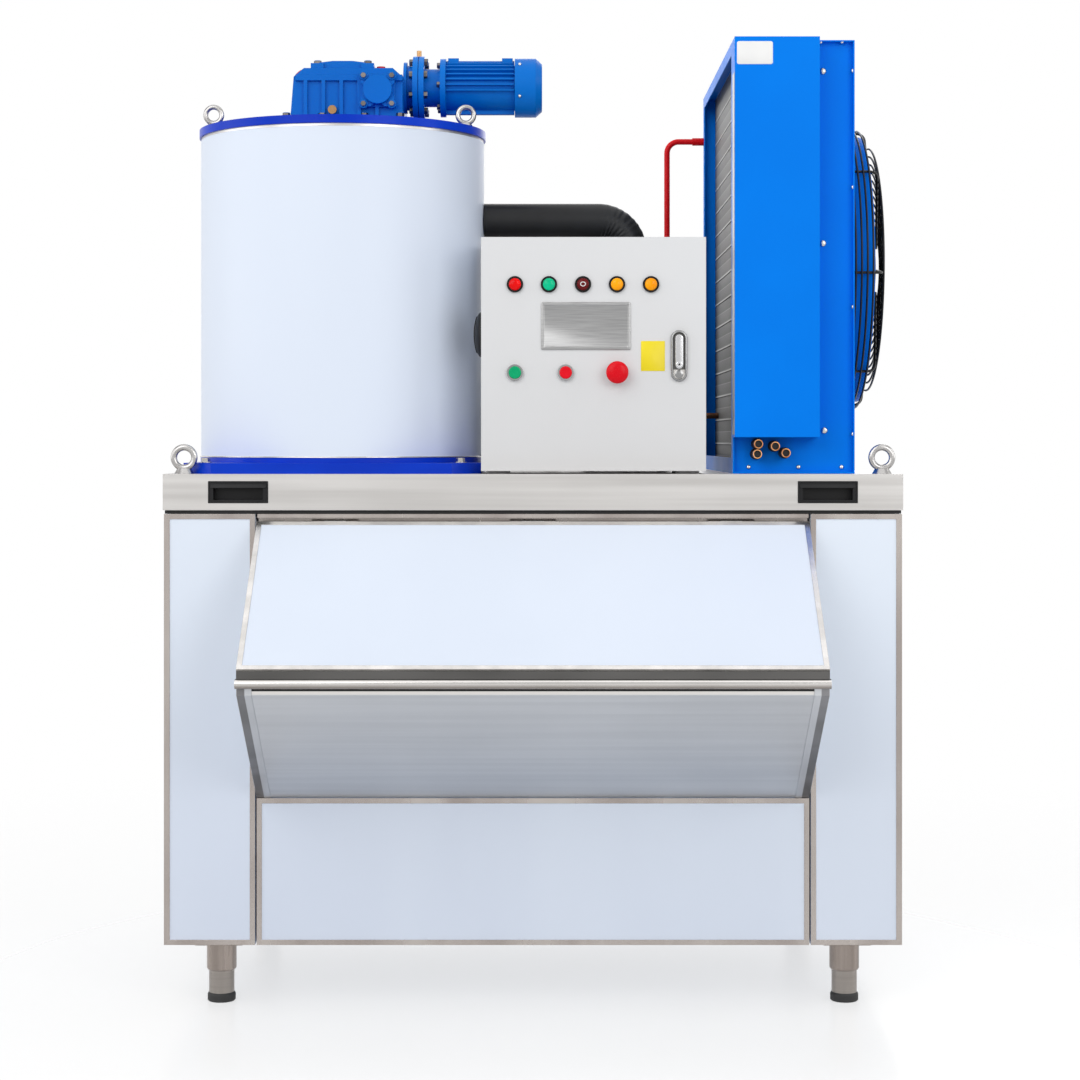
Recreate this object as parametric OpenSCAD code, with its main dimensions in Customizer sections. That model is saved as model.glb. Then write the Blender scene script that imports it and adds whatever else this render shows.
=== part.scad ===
// Flake ice machine on an insulated ice bin.
// Millimetres, +Z up, front towards -Y, origin on the floor under the middle of the outline.
// Inside the modules X runs from the middle of the bin, Y back from the bin's front, Z up from the floor.

/* [Bin] */
// Width of the bin over its panels
bin_w = 1300; // [1240:1:1400]
// Depth of the bin over its panels
bin_d = 880; // [840:1:980]
// Height of the bin's panels
bin_h = 760.5; // [730:0.5:820]
// Height of the bin's underside above the floor
leg_h = 111; // [108:1:125]
// Thickness of the insulated walls
bin_wall = 50; // [44:1:56]
// Width of the steel edge trims
trim_w = 9; // [6:0.5:14]
// Thickness of the steel edge trims
trim_t = 1.2; // [0.8:0.1:2]
// Open joint between the front panels
panel_joint = 3; // [1:0.5:5]
// Radius of the drain spigot
drain_r = 16; // [12:0.5:20]
// Wall of the drain spigot
drain_wall = 3; // [2:0.5:4]
// Length of the drain spigot below the floor panel
drain_len = 40; // [25:1:60]

/* [Hopper] */
// Width of the hopper
hopper_w = 975; // [900:1:1040]
// How far the lid reaches in front of the bin
hopper_reach = 305; // [260:1:340]
// Height of the lower front panel
sill_h = 259; // [230:1:290]
// Drop of the lid from its top line to its nose
lid_drop = 239; // [210:1:260]
// Lid's top line below the top of the bin
lid_inset = 5.5; // [4:0.5:8]
// Thickness of the lid
lid_t = 24; // [20:1:28]
// Thickness of the hopper's cheeks
cheek_t = 25; // [18:1:32]
// Thickness of the slanted underside
under_t = 20; // [14:1:26]
// Height of the hopper's nose below the lid's front edge
nose_h = 45; // [42:1:52]
// Radius of the round grip rail
rail_r = 8; // [7:0.5:9]
// Radius of the lid's hinge pins
lid_pin_r = 3; // [2.5:0.5:4]

/* [Cap] */
// Height of the steel cap
cap_h = 64; // [54:1:76]
// Overhang of the cap past the bin's panels
cap_over = 3; // [2:0.5:6]
// Sheet of the cap
cap_sheet = 3; // [2:0.5:4]
// Height of the gasket under the cap
gasket_h = 6.5; // [5:0.5:9]
// Width of a pull cup's flange
cup_w = 106; // [90:1:120]
// Height of a pull cup's flange
cup_h = 39; // [34:1:44]
// Depth of a pull cup
cup_d = 28; // [20:1:36]
// Distance of a pull cup from the middle
cup_x = 520; // [480:1:540]
// Outer radius of a cap lifting eye
eye_r = 24; // [20:0.5:28]
// Distance of a cap lifting eye from the cap's edges
eye_inset = 33; // [28:1:50]

/* [Legs] */
// Distance of a leg from the bin's sides
leg_inset_x = 93; // [70:1:120]
// Distance of a leg from the bin's front and back
leg_inset_y = 60; // [45:1:90]
// Radius of a leg tube
tube_r = 26.5; // [25:0.5:30]
// Height of a leg tube
tube_h = 55; // [50:1:62]
// Radius of a foot's stem
stem_r = 22.5; // [19:0.5:23]
// Radius of a foot's rubber pad
pad_r = 25; // [23.5:0.5:28]
// Height of a foot's rubber pad
pad_h = 16; // [12:1:20]

/* [Ice drum] */
// Radius of the drum's jacket
drum_r = 265; // [255:1:275]
// Gap from the cap's left edge to the drum
drum_margin = 31; // [25:1:45]
// Gap from the bin's front to the drum
drum_front = 15; // [10:1:40]
// Height of the jacket
drum_h = 589; // [540:1:640]
// Thickness of the base frame
base_t = 19; // [14:1:24]
// Corner cut of the base frame
base_cut = 56; // [40:1:70]
// Height of the base frame's ring
ring_t = 9; // [6:1:12]
// Thickness of the evaporator's top flange
band_t = 5; // [3:0.5:8]
// Thickness of the top plate
top_t = 15; // [12:1:20]
// Inner radius of the evaporator
evap_r = 215; // [205:1:222]
// Wall of the evaporator
evap_t = 10; // [8:0.5:14]
// Radius of the main shaft
shaft_r = 25; // [22:0.5:28]
// Gap between the ice blade and the evaporator
blade_gap = 2; // [1:0.5:4]
// Outer radius of a drum lifting eye
drum_eye_r = 19.5; // [16:0.5:23]

/* [Gear motor] */
// Length of the reducer housing
gear_w = 208; // [195:1:225]
// Depth of the reducer housing
gear_d = 170; // [150:1:190]
// Height of the reducer housing
gear_h = 104; // [96:1:116]
// Height of the motor's axis above the drum's top
motor_z = 85; // [78:1:92]
// Radius of the input flange
flange_r = 59; // [52:1:66]
// Radius of the motor's finned body
motor_r = 50.5; // [46:0.5:56]
// Length of the motor's finned body
motor_l = 129; // [110:1:150]
// Length of the fan cowl
cowl_l = 51; // [40:1:60]

/* [Cabinet] */
// Width of the cabinet
cab_w = 399; // [370:1:430]
// Height of the cabinet
cab_h = 415; // [390:1:450]
// Depth of the cabinet
cab_d = 200; // [180:1:208]
// Distance of the cabinet from the bin's front
cab_front = 20; // [10:1:28]
// Height of the pads under the cabinet
cab_pad = 5; // [3:1:10]
// Sheet of the cabinet
cab_sheet = 2; // [1.5:0.5:3]
// Depth of the door
door_t = 18; // [16:1:22]
// Gap between the door and the shell
door_gap = 4; // [4:0.5:6]
// Pitch of the lamps
lamp_pitch = 60.3; // [52:0.1:64]
// Radius of a lamp or button bezel
bezel_r = 14.5; // [13:0.5:17]
// Radius of the emergency stop's head
estop_r = 20; // [18:0.5:24]
// Radius of the main switch knob
knob_r = 41; // [30:1:45]

/* [Condenser] */
// Gap from the cabinet to the condenser
cond_gap = 51; // [40:1:70]
// Width of the condenser casing
cond_w = 218; // [195:1:240]
// Depth of the condenser, front cover included
cond_d = 782; // [740:1:820]
// Height of the condenser
cond_h = 776; // [720:1:820]
// Depth of the front cover
cover_d = 40; // [30:1:50]
// Width of the front cover
cover_w = 151; // [135:1:165]
// Gap under the front cover
cover_gap = 65; // [55:1:75]
// Sheet of the casing
cond_sheet = 2.5; // [2:0.5:4]
// Thickness of the fin coil
coil_t = 70; // [55:1:85]
// Height of one band of the fin coil
coil_band = 48; // [40:1:60]

/* [Fan] */
// Inner radius of the fan shroud
shroud_r = 247; // [235:1:252]
// How far the shroud stands out
shroud_h = 51; // [42:1:60]
// Number of fan blades
blade_n = 6; // [5:1:8]
// Gap between the blade tips and the shroud
tip_gap = 6; // [4:0.5:10]
// Radius of the fan's hub
hub_r = 58; // [50:1:66]
// Radius of the guard's wires
wire_r = 2; // [1.5:0.25:2.5]
// Pitch of the guard's front rings
ring_pitch = 15; // [13:0.5:20]
// How far the guard's front is domed
guard_dome = 20; // [10:1:24]

/* [Pipes] */
// Outer radius of the insulated suction pipe
suction_r = 32.5; // [28:0.5:36]
// Bend radius of the suction pipe
suction_bend = 58; // [50:1:70]
// Radius of the red discharge pipe
hot_r = 6; // [5:0.5:8]
// Radius of the copper stubs
stub_r = 8; // [6:0.5:9]
// Radius of the compressor's shell
comp_r = 85; // [75:1:92]
// Radius of the liquid receiver
recv_r = 70; // [55:1:80]

/* [Hidden] */
$fn = 64;
run_fit = 0.05;
seat_fit = 0.2;
clear = 0.3;
white = [0.90, 0.93, 0.98];
steel = [0.78, 0.77, 0.75];
blue = [0.0, 0.45, 0.93];
deep_blue = [0.0, 0.2, 0.75];
black = [0.06, 0.06, 0.06];
pale = [0.88, 0.88, 0.87];
copper = [0.75, 0.42, 0.22];
red = [0.8, 0.05, 0.05];

// Levels and outline of the bin and its cap
stem_top = leg_h - 10 - run_fit;
bin_x = bin_w / 2;
bin_top = leg_h + bin_h;
cap_z = bin_top + gasket_h;
cap_top = cap_z + cap_h;
cap_x = bin_x + cap_over;
hop_x = hopper_w / 2;
sill_z = leg_h + sill_h;
floor_z = leg_h + bin_wall;

// Lid: its slope, its nose and points at a distance down the lid and below its outer face
lid_slope = atan2(lid_drop, hopper_reach);
lid_len = norm([lid_drop, hopper_reach]);
lid_z = bin_top - lid_inset;
lid_cut = 12;
hinge_y = 12;
hinge_down = 11;
function lid_at(along, depth) =
    [-along * cos(lid_slope) + depth * sin(lid_slope), lid_z - along * sin(lid_slope) - depth * cos(lid_slope)];
function lid_under_z(y) = lid_at(0, lid_t + clear)[1] + (y - lid_at(0, lid_t + clear)[0]) * tan(lid_slope);
nose = lid_at(lid_len, 0);
lip_y = lid_at(lid_len, lid_t)[0] - 2;
lip_t = 20;
nose_z = nose[1] - nose_h;
rail_c = [nose[0] + 2, nose[1] - 25];
knuckle_r = lid_pin_r + 3.5;
knuckle_l = 40;
header_y = hinge_y + knuckle_r + 7.5;
header_h = 36;
lid_w = hopper_w - 2;
// Height of the hinge axis below the lid's outer face and its place past the lid's top line, along the lid
axis_past = hinge_y * cos(lid_slope) - hinge_down * sin(lid_slope);
axis_below = hinge_y * sin(lid_slope) + hinge_down * cos(lid_slope);
hinge_at = [-0.36, 0, 0.36] * lid_w;
hinge_arm = 4;

// Ice drum
drum_x = -cap_x + drum_margin + drum_r;
drum_y = drum_front + drum_r;
base_top = cap_top + base_t;
jacket_z = base_top + ring_t;
jacket_top = jacket_z + drum_h;
plate_z = jacket_top + band_t;
plate_top = plate_z + top_t;
evap_out = evap_r + evap_t;
drum_eye_y = 80;
drum_eye_in = 32;
pad_t = 6;
gear_z = plate_top + pad_t;
journal_r = shaft_r - 5;
spider_z = base_top + 14;
spider_h = 33;
scrape_low = spider_z + spider_h + 24;
scrape_high = jacket_top - 130;
tooth = 14;
arm_h = 40;

// Gear motor: the box of the reducer, its round end cover and the parts along the motor's axis
gear_x = drum_x + 12;
gear_front = drum_y - gear_d / 2;
axis_z = plate_top + motor_z;
cover_h = 15;
gear_left = gear_x - gear_w / 2;
gear_end = gear_x + gear_w / 2;
gear_top = gear_z + gear_h;
gear_back = gear_front + gear_d;
end_x = gear_x + 59;
end_z = gear_z + 62;
end_out = 9;
end_half = 31;
rib_out = 6;
neck_r = 35.5;
core_r = motor_r - 8;
flange_x = gear_end + 16.5;
flange_t = 21;
neck_x = flange_x + flange_t;
motor_x = neck_x + 30;
motor_flange_t = 10.5;
body_x = motor_x + motor_flange_t;
cowl_x = body_x + motor_l;

// Cabinet and what stands on its door
cab_x = drum_x + drum_r;
cab_z = cap_top + cab_pad;
cab_top = cab_z + cab_h;
shell_y = cab_front + door_t + door_gap;
cab_back = cab_front + cab_d;
flange_w = 15;
pivot = [cab_x + 6, cab_front + door_t - 5];
hinge_z = [cab_z + 60, cab_top - 84];
hinge_l = 24;
lamp_z = cab_top - 84;
lamp_x = cab_x + 60;
button_z = cab_top - 240.5;
start_x = lamp_x;
stop_x = lamp_x + 90;
estop_x = lamp_x + 181;
hole_r = bezel_r - 3.3;
latch = [cab_x + 351, cab_top - 211];
latch_w = 29;
latch_h = 91;
knob_at = [cab_front + 80, cab_top - 170];
knob_pin_r = 5;
// Flip axis of the latch handle, in the pocket of its plate
flip_z = latch[1] - latch_h / 2 + 22;
flip_y = cab_front - 5;
flip_r = 1.2;

// Condenser and fan
cond_x = cab_x + cab_w + cond_gap;
cond_y = cab_front + 1;
case_y = cond_y + cover_d;
recess = 12;
panel_y = case_y + recess;
cond_back = cond_y + cond_d;
cond_right = cond_x + cond_w;
cond_top = cap_top + cond_h;
coil_x = cond_x + 25;
fan_y = (cond_y + cond_back) / 2;
fan_z = (cap_top + cond_top) / 2 + 1;
shroud_out = shroud_r + 8;
rod_r = wire_r + 0.5;
rod_ring = shroud_out + 7;
guard_rim_x = cond_right + shroud_h + 11;
guard_hub_x = guard_rim_x + guard_dome;
hub_plate_t = 4;
hub_ring = hub_r + 2;
wire_gap = 0.15;
guard_bend = 16;
guard_tip = guard_hub_x + rod_r + 2 * wire_r + wire_gap;
function dome_x(r) = guard_rim_x + guard_dome * (rod_ring - r) / (rod_ring - hub_ring);
front_gap = rod_r + wire_r + wire_gap;
side_x = cond_right + 14;
rotor_x = cond_right + 4;
rotor_l = 40;
spindle_r = 10;

// Pipes and refrigeration pieces behind the cabinet
suction_z = cab_top + 52;
suction_x = cab_x + 274;
suction_low = cap_top + 258;
comp_y = drum_y + suction_bend + comp_r + 8;
comp_h = 4.5 * comp_r;
hot_z = cond_top - 91;
hot_y = cond_back - 11;
hot_x = cond_x - 77;
hot_bend = 24;
recv_z = cap_top + 40 + recv_r;
recv_y = cond_back - 83;
recv_x = [drum_x + 60, suction_x - 60];
line_r = 6;

// Middle of the outline, which the origin lies under
mid_x = (guard_tip - cap_x) / 2;
mid_y = (bin_d + cap_over + rail_c[0] - rail_r) / 2;

// Shared shapes

module home() { translate([-mid_x, -mid_y, 0]) children(); }

module block(low, high) { translate(low) cube(high - low); }

module both_sides() { for (s = [0, 1]) mirror([s, 0, 0]) children(); }

// A [y, z] outline carried along X
module across(x0, x1, outline) {
    translate([x0, 0, 0]) rotate([90, 0, 90]) linear_extrude(x1 - x0) polygon(outline);
}

// An [x, z] outline carried along Y
module deep(y0, y1, outline) {
    translate([0, y1, 0]) rotate([90, 0, 0]) linear_extrude(y1 - y0) polygon(outline);
}

module rod_x(x0, x1, y, z, r) { translate([x0, y, z]) rotate([0, 90, 0]) cylinder(h = x1 - x0, r = r); }

module rod_y(y0, y1, x, z, r) { translate([x, y0, z]) rotate([-90, 0, 0]) cylinder(h = y1 - y0, r = r); }

module rod_z(z0, z1, x, y, r) { translate([x, y, z0]) cylinder(h = z1 - z0, r = r); }

// A straight round bar between two points
module strut(a, b, r) {
    v = b - a;
    translate(a) rotate([0, acos(v[2] / norm(v)), atan2(v[1], v[0])]) cylinder(h = norm(v), r = r);
}

function unit(v) = v / norm(v);

// A pipe along straight stretches, with a round bend at each corner
module pipe_run(points, r, bend) {
    last = len(points) - 1;
    ways = [for (i = [0 : last - 1]) unit(points[i + 1] - points[i])];
    turns = [for (i = [1 : last - 1]) acos(ways[i - 1] * ways[i])];
    cuts = concat([0], [for (t = turns) bend * tan(t / 2)], [0]);
    for (i = [0 : last - 1])
        strut(points[i] + cuts[i] * ways[i], points[i + 1] - cuts[i + 1] * ways[i], r);
    for (i = [1 : last - 1]) {
        a = ways[i - 1];
        n = unit(ways[i] - a * (a * ways[i]));
        c = cross(a, n);
        o = points[i] - cuts[i] * a + bend * n;
        multmatrix(concat([for (k = [0 : 2]) [-n[k], a[k], c[k], o[k]]], [[0, 0, 0, 1]]))
            rotate_extrude(angle = turns[i - 1]) translate([bend, 0]) circle(r);
    }
}

// A flat rectangular frame of the given bar width in the XY plane
module flat_frame(w, h, bar, t) {
    difference() {
        cube([w, h, t]);
        translate([bar, bar, -1]) cube([w - 2 * bar, h - 2 * bar, t + 2]);
    }
}

// Bin

module bin_floor() color(steel) home() difference() {
    union() {
        block([-bin_x + bin_wall, bin_wall, leg_h], [bin_x - bin_wall, bin_d - bin_wall, floor_z]);
        rod_z(leg_h - drain_len, floor_z, bin_x / 2, bin_d / 2, drain_r);
    }
    rod_z(leg_h - drain_len - 1, floor_z + 1, bin_x / 2, bin_d / 2, drain_r - drain_wall);
}

module bin_side_panels() color(white) home() both_sides()
    block([bin_x - bin_wall, bin_wall, leg_h], [bin_x, bin_d - bin_wall, bin_top]);

module bin_back_panel() color(white) home()
    block([-bin_x, bin_d - bin_wall, leg_h], [bin_x, bin_d, bin_top]);

module front_side_panels() color(white) home() both_sides()
    block([hop_x + panel_joint, 0, leg_h], [bin_x, bin_wall, bin_top]);

module front_lower_panel() color(white) home()
    block([-hop_x, 0, leg_h], [hop_x, bin_wall, sill_z]);

module bin_trims() color(steel) home() {
    both_sides() translate([hop_x + panel_joint, 0, leg_h]) rotate([90, 0, 0])
        flat_frame(bin_x - hop_x - panel_joint, bin_h, trim_w, trim_t);
    translate([-hop_x, 0, leg_h]) rotate([90, 0, 0]) flat_frame(hopper_w, sill_h, trim_w, trim_t);
    translate([-bin_x, bin_d + trim_t, leg_h]) rotate([90, 0, 0]) flat_frame(bin_w, bin_h, trim_w, trim_t);
    both_sides() translate([bin_x, -trim_t, leg_h]) rotate([90, 0, 90])
        flat_frame(bin_d + 2 * trim_t, bin_h, trim_w + trim_t, trim_t);
}

module leg_tubes() color(steel) home() for (x = [-1, 1], y = [leg_inset_y, bin_d - leg_inset_y])
    translate([x * (bin_x - leg_inset_x), y, 0]) difference() {
        plate = 84;
        low = leg_h - tube_h;
        union() {
            rotate_extrude()
                polygon([[0, low], [tube_r - 2, low], [tube_r, low + 3], [tube_r, leg_h], [0, leg_h]]);
            block([-plate / 2, -plate / 2, leg_h - 5], [plate / 2, plate / 2, leg_h]);
        }
        rod_z(low - 1, leg_h - 10, 0, 0, stem_r + run_fit);
    }

module foot(sx, y) color(black) home() translate([sx * (bin_x - leg_inset_x), y, 0]) rotate_extrude()
    polygon([[0, 0], [pad_r - 2, 0], [pad_r, 2], [pad_r, pad_h - 4], [pad_r - 2, pad_h], [stem_r, pad_h],
        [stem_r, stem_top], [0, stem_top]]);

module foot_front_left() foot(-1, leg_inset_y);
module foot_front_right() foot(1, leg_inset_y);
module foot_back_left() foot(-1, bin_d - leg_inset_y);
module foot_back_right() foot(1, bin_d - leg_inset_y);

// Hopper and lid

module hopper_underside() color(steel) home() {
    x = hop_x - cheek_t;
    slope = (nose_z - sill_z) / -lip_y;
    rise = under_t / cos(atan(slope));
    across(-x, x, [[2, sill_z], [lip_y + 2, nose_z], [lip_y + 2, lid_under_z(lip_y + 2)],
        [lip_y + lip_t, lid_under_z(lip_y + lip_t)], [lip_y + lip_t, sill_z + rise - slope * (lip_y + lip_t)],
        [0, sill_z + rise], [rise / slope, sill_z]]);
}

module hopper_cheeks() color(steel) home() both_sides()
    across(hop_x - cheek_t, hop_x, [[bin_wall, sill_z], [0, sill_z], [lip_y, nose_z],
        [lip_y, lid_under_z(lip_y)], [0, lid_under_z(0)], [0, bin_top - header_h],
        [bin_wall, bin_top - header_h]]);

module on_lid() { translate([0, 0, lid_z]) rotate([lid_slope, 0, 0]) children(); }

module bin_lid() color(white) home() on_lid()
    block([-lid_w / 2 + trim_w, -lid_len + trim_w, -lid_t], [lid_w / 2 - trim_w, -lid_cut - trim_w, -0.8]);

module lid_frame() color(steel) home() on_lid() difference() {
    half = knuckle_l / 2;
    union() {
        translate([-lid_w / 2, -lid_len, -lid_t]) flat_frame(lid_w, lid_len - lid_cut, trim_w, lid_t);
        for (x = hinge_at) {
            block([x - half, -lid_cut - hinge_arm, -axis_below - hinge_arm],
                [x + half, axis_past, -axis_below + hinge_arm]);
            rod_x(x - half, x + half, axis_past, -axis_below, knuckle_r);
        }
    }
    for (x = hinge_at) rod_x(x - knuckle_l, x + knuckle_l, axis_past, -axis_below, lid_pin_r + run_fit);
}

module lid_grip_rail() color(steel) home() {
    back = lip_y - 1.5;
    end = hopper_w / 2 + 1;
    foot_z = rail_c[1] + rail_r;
    rod_x(-end, end, rail_c[0], rail_c[1], rail_r);
    block([-end, rail_c[0], rail_c[1] - rail_r], [end, back, foot_z]);
    across(-lid_w / 2, lid_w / 2, [[rail_c[0], foot_z - 2], [back, foot_z - 2],
        lid_at(lid_len + run_fit, lid_t - 4), lid_at(lid_len + run_fit, 5)]);
}

module lid_hinge_rail() color(steel) home() {
    z = lid_z - hinge_down;
    half = knuckle_l / 4;
    block([-hop_x, header_y, bin_top - header_h], [hop_x, bin_wall, bin_top]);
    block([-hop_x, hinge_y - hinge_arm, bin_top - 7.5], [hop_x, header_y, bin_top]);
    for (x = hinge_at) {
        rod_x(x - knuckle_l, x + knuckle_l, hinge_y, z, lid_pin_r);
        for (s = [-1, 1]) translate([x + s * knuckle_l * 0.77, 0, 0]) {
            rod_x(-half, half, hinge_y, z, knuckle_r);
            block([-half, hinge_y, z - hinge_arm], [half, header_y, z + hinge_arm]);
        }
    }
}

// Cap

module cup_hole(grow) {
    half = [cup_w / 2 - 5 + grow, cup_h / 2 - 3 + grow];
    mid = cap_z + cap_h / 2;
    block([cup_x - half[0], -cap_over - 10, mid - half[1]], [cup_x + half[0], cup_d, mid + half[1]]);
}

module top_cap() color(steel) home() difference() {
    block([-cap_x, -cap_over, cap_z], [cap_x, bin_d + cap_over, cap_top]);
    block([-cap_x + cap_sheet, -cap_over + cap_sheet, cap_z + cap_sheet],
        [cap_x - cap_sheet, bin_d + cap_over - cap_sheet, cap_top - cap_sheet]);
    block([-bin_x + bin_wall, bin_wall, cap_z - 1],
        [bin_x - bin_wall, bin_d - bin_wall, cap_z + cap_sheet + 1]);
    rod_z(cap_top - cap_sheet - 1, cap_top + 1, drum_x, drum_y, evap_out);
    both_sides() intersection() {
        cup_hole(clear);
        block([0, -cap_over - 1, cap_z], [cap_x, cap_sheet, cap_top]);
    }
}

module cap_gasket() color(black) home() translate([-bin_x + 10, 10, bin_top])
    flat_frame(bin_w - 20, bin_d - 20, bin_wall - 10, gasket_h);

module pull_cups() color(black) home() both_sides() difference() {
    z = cap_z + cap_h / 2;
    low = z - cup_h / 2 + 6;
    high = z + cup_h / 2 - 6;
    union() {
        block([cup_x - cup_w / 2, -cap_over - 2, z - cup_h / 2], [cup_x + cup_w / 2, -cap_over, z + cup_h / 2]);
        intersection() {
            cup_hole(0);
            block([0, -cap_over - 1, cap_z], [cap_x, cup_d, cap_top]);
        }
    }
    across(cup_x - cup_w / 2 + 9, cup_x + cup_w / 2 - 9,
        [[-cap_over - 3, low], [cup_d - 3, low], [cup_d - 3, high], [4, high], [-cap_over - 3, high - 5]]);
}

// Lifting eye: collar and ring, its hole along Y
module eye_bolt(r) {
    wire = r * 0.24;
    cylinder(h = r * 0.4, r1 = r * 0.75, r2 = r * 0.5);
    translate([0, 0, r * 1.2]) rotate([90, 0, 0]) rotate_extrude() translate([r - wire, 0]) circle(wire);
}

module eye_bolts() color(steel) home() {
    for (x = [-1, 1], y = [-cap_over + eye_inset, bin_d + cap_over - eye_inset])
        translate([x * (cap_x - eye_inset), y, cap_top]) eye_bolt(eye_r);
    for (x = [-1, 1])
        translate([drum_x + x * (drum_r - drum_eye_in), drum_y - drum_eye_y, plate_top]) eye_bolt(drum_eye_r);
}

// Ice drum

module drum_base_frame() color(deep_blue) home() translate([drum_x, drum_y, 0]) difference() {
    h = drum_r + 4.5;
    right = drum_r - 1;
    c = h - base_cut;
    bolt = c + 14;
    union() {
        translate([0, 0, cap_top]) linear_extrude(base_t)
            polygon([[-c, -h], [c, -h], [right, -c], [right, c], [c, h], [-c, h], [-h, c], [-h, -c]]);
        rod_z(cap_top, jacket_z, 0, 0, drum_r + 1);
        for (x = [-1, 1], y = [-1, 1]) translate([x * bolt, y * bolt, base_top - 1]) {
            cylinder(h = 3, r = 11);
            cylinder(h = 10, r = 8, $fn = 6);
        }
    }
    rod_z(cap_top - 1, jacket_z + 1, 0, 0, evap_out + seat_fit);
}

module drum_jacket() color(white) home() translate([drum_x, drum_y, jacket_z]) difference() {
    cylinder(h = drum_h, r = drum_r);
    translate([0, 0, -1]) cylinder(h = drum_h + 2, r = evap_out + seat_fit);
}

module evaporator_wall() color(steel) home() translate([drum_x, drum_y, 0]) difference() {
    union() {
        rod_z(base_top, jacket_top + 1, 0, 0, evap_out);
        rod_z(jacket_top, plate_z, 0, 0, drum_r - 1);
    }
    rod_z(base_top - 1, plate_z + 1, 0, 0, evap_r);
}

module drum_top_plate() color(deep_blue) home() translate([drum_x, drum_y, 0]) difference() {
    pad = [-133, 147];
    deep_half = gear_d / 2 + 15;
    union() {
        rod_z(plate_z, plate_top, 0, 0, drum_r + 3);
        block([pad[0], -deep_half, plate_top - 1], [pad[1], deep_half, gear_z]);
    }
    rod_z(plate_z - 1, gear_z + 1, 0, 0, shaft_r + 12);
}

module bearing_spider() color(steel) home() translate([drum_x, drum_y, spider_z]) difference() {
    union() {
        cylinder(h = spider_h, r = journal_r + 24);
        intersection() {
            for (a = [90, 210, 330]) rotate([0, 0, a]) translate([0, -13, 0]) cube([evap_r + 10, 26, 22]);
            cylinder(h = spider_h, r = evap_r - seat_fit);
        }
    }
    translate([0, 0, -1]) cylinder(h = spider_h + 2, r = journal_r + run_fit);
}

module scraper_shaft() color(steel) home() translate([drum_x, drum_y, 0]) {
    rod_z(spider_z + 4, spider_z + spider_h + clear + 2, 0, 0, journal_r);
    rod_z(spider_z + spider_h + clear, gear_z + 48, 0, 0, shaft_r);
}

// Two arms, a bar and a toothed ice blade close to the wall
module ice_scraper() color(steel) home() translate([drum_x, drum_y, 0]) difference() {
    tip = evap_r - blade_gap;
    root = tip - 12;
    bar = tip - 34;
    n = floor((scrape_high - scrape_low) / tooth);
    blade_top = scrape_low + n * tooth;
    teeth = [for (i = [0 : n - 1], s = [0, 1]) [s == 0 ? root : tip, scrape_low + (i + s / 2) * tooth]];
    union() {
        for (z = [scrape_low, scrape_high - arm_h]) {
            rod_z(z, z + arm_h, 0, 0, shaft_r + 16);
            block([0, -14, z + 8], [bar + 1, 14, z + arm_h - 8]);
        }
        block([bar, -16, scrape_low - 14], [root - 4, 16, scrape_high + 30]);
        deep(-4, 4, concat([[bar + 4, scrape_low]], teeth, [[root, blade_top], [bar + 4, blade_top]]));
    }
    rod_z(scrape_low - 1, scrape_high + 1, 0, 0, shaft_r + run_fit);
}

module water_distributor() color(pale) home() translate([drum_x, drum_y, jacket_top - 80]) difference() {
    pan_r = 110;
    sleeve = shaft_r + run_fit;
    spout_z = 14;
    union() {
        rotate_extrude() polygon([[sleeve, 0], [pan_r, 0], [pan_r, 34], [pan_r - 5, 34], [pan_r - 5, 6],
            [sleeve + 12, 6], [sleeve + 12, 44], [sleeve, 44]]);
        for (a = [22.5 : 45 : 359]) rotate([0, 0, a]) rod_x(pan_r - 4, evap_r - 22, 0, spout_z, 7);
    }
    for (a = [22.5 : 45 : 359]) rotate([0, 0, a]) rod_x(pan_r - 10, evap_r - 21, 0, spout_z, 4.5);
}

// Gear motor

module reducer_housing() color(blue) home() difference() {
    rib_w = 7;
    foot_h = 13;
    strip = [gear_top - 24, gear_top - 13];
    union() {
        deep(gear_front, gear_back, [[gear_left, gear_z], [gear_end, gear_z], [gear_end, gear_top - 16],
            [gear_end - 18, gear_top], [gear_left + 26, gear_top], [gear_left + 7, gear_top - 16]]);
        block([gear_left - 16, gear_front - 10, gear_z], [gear_end + 8, gear_back + 10, gear_z + foot_h]);
        for (x = [gear_left + 26 : 33 : gear_end - 20], y = [gear_front - rib_out, gear_back - 1])
            block([x, y, gear_z + foot_h - 1], [x + rib_w, y + rib_out + 1, strip[0] + 1]);
        block([gear_left + 11, gear_front - rib_out, strip[0]], [gear_end, gear_back + rib_out, strip[1]]);
        block([end_x - end_half, gear_front - rib_out, end_z - end_half],
            [end_x + end_half, gear_front + 1, end_z + end_half]);
        for (x = [gear_left - 6, gear_left + 60, gear_end - 70, gear_end - 4])
            translate([x, gear_front - 2, gear_z + foot_h - 1]) cylinder(h = 9, r = 7, $fn = 6);
        rod_x(gear_end - 1, gear_end + 5, drum_y, axis_z, 48);
        rod_x(gear_end + 4, flange_x, drum_y, axis_z, 42);
    }
    rod_z(gear_z - 1, gear_z + 52, drum_x, drum_y, shaft_r + run_fit);
}

module reducer_top_cover() color(blue) home() {
    x = [gear_left + 38, gear_end - 53];
    y = [gear_front + 12, gear_back - 12];
    lug = 24;
    top = gear_top + cover_h;
    deep(y[0], y[1], [[x[0], gear_top], [x[1], gear_top], [x[1], top - 8], [x[1] - 16, top - 3],
        [x[1] - 40, top], [x[0] + 40, top], [x[0] + 16, top - 3], [x[0], top - 8]]);
    for (a = [x[0], x[1] - lug], b = [y[0] - 6, y[1] - lug + 6]) {
        block([a, b, gear_top], [a + lug, b + lug, gear_top + 10]);
        translate([a + lug / 2, b + lug / 2, gear_top + 9]) cylinder(h = 7, r = 7, $fn = 6);
    }
}

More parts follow.
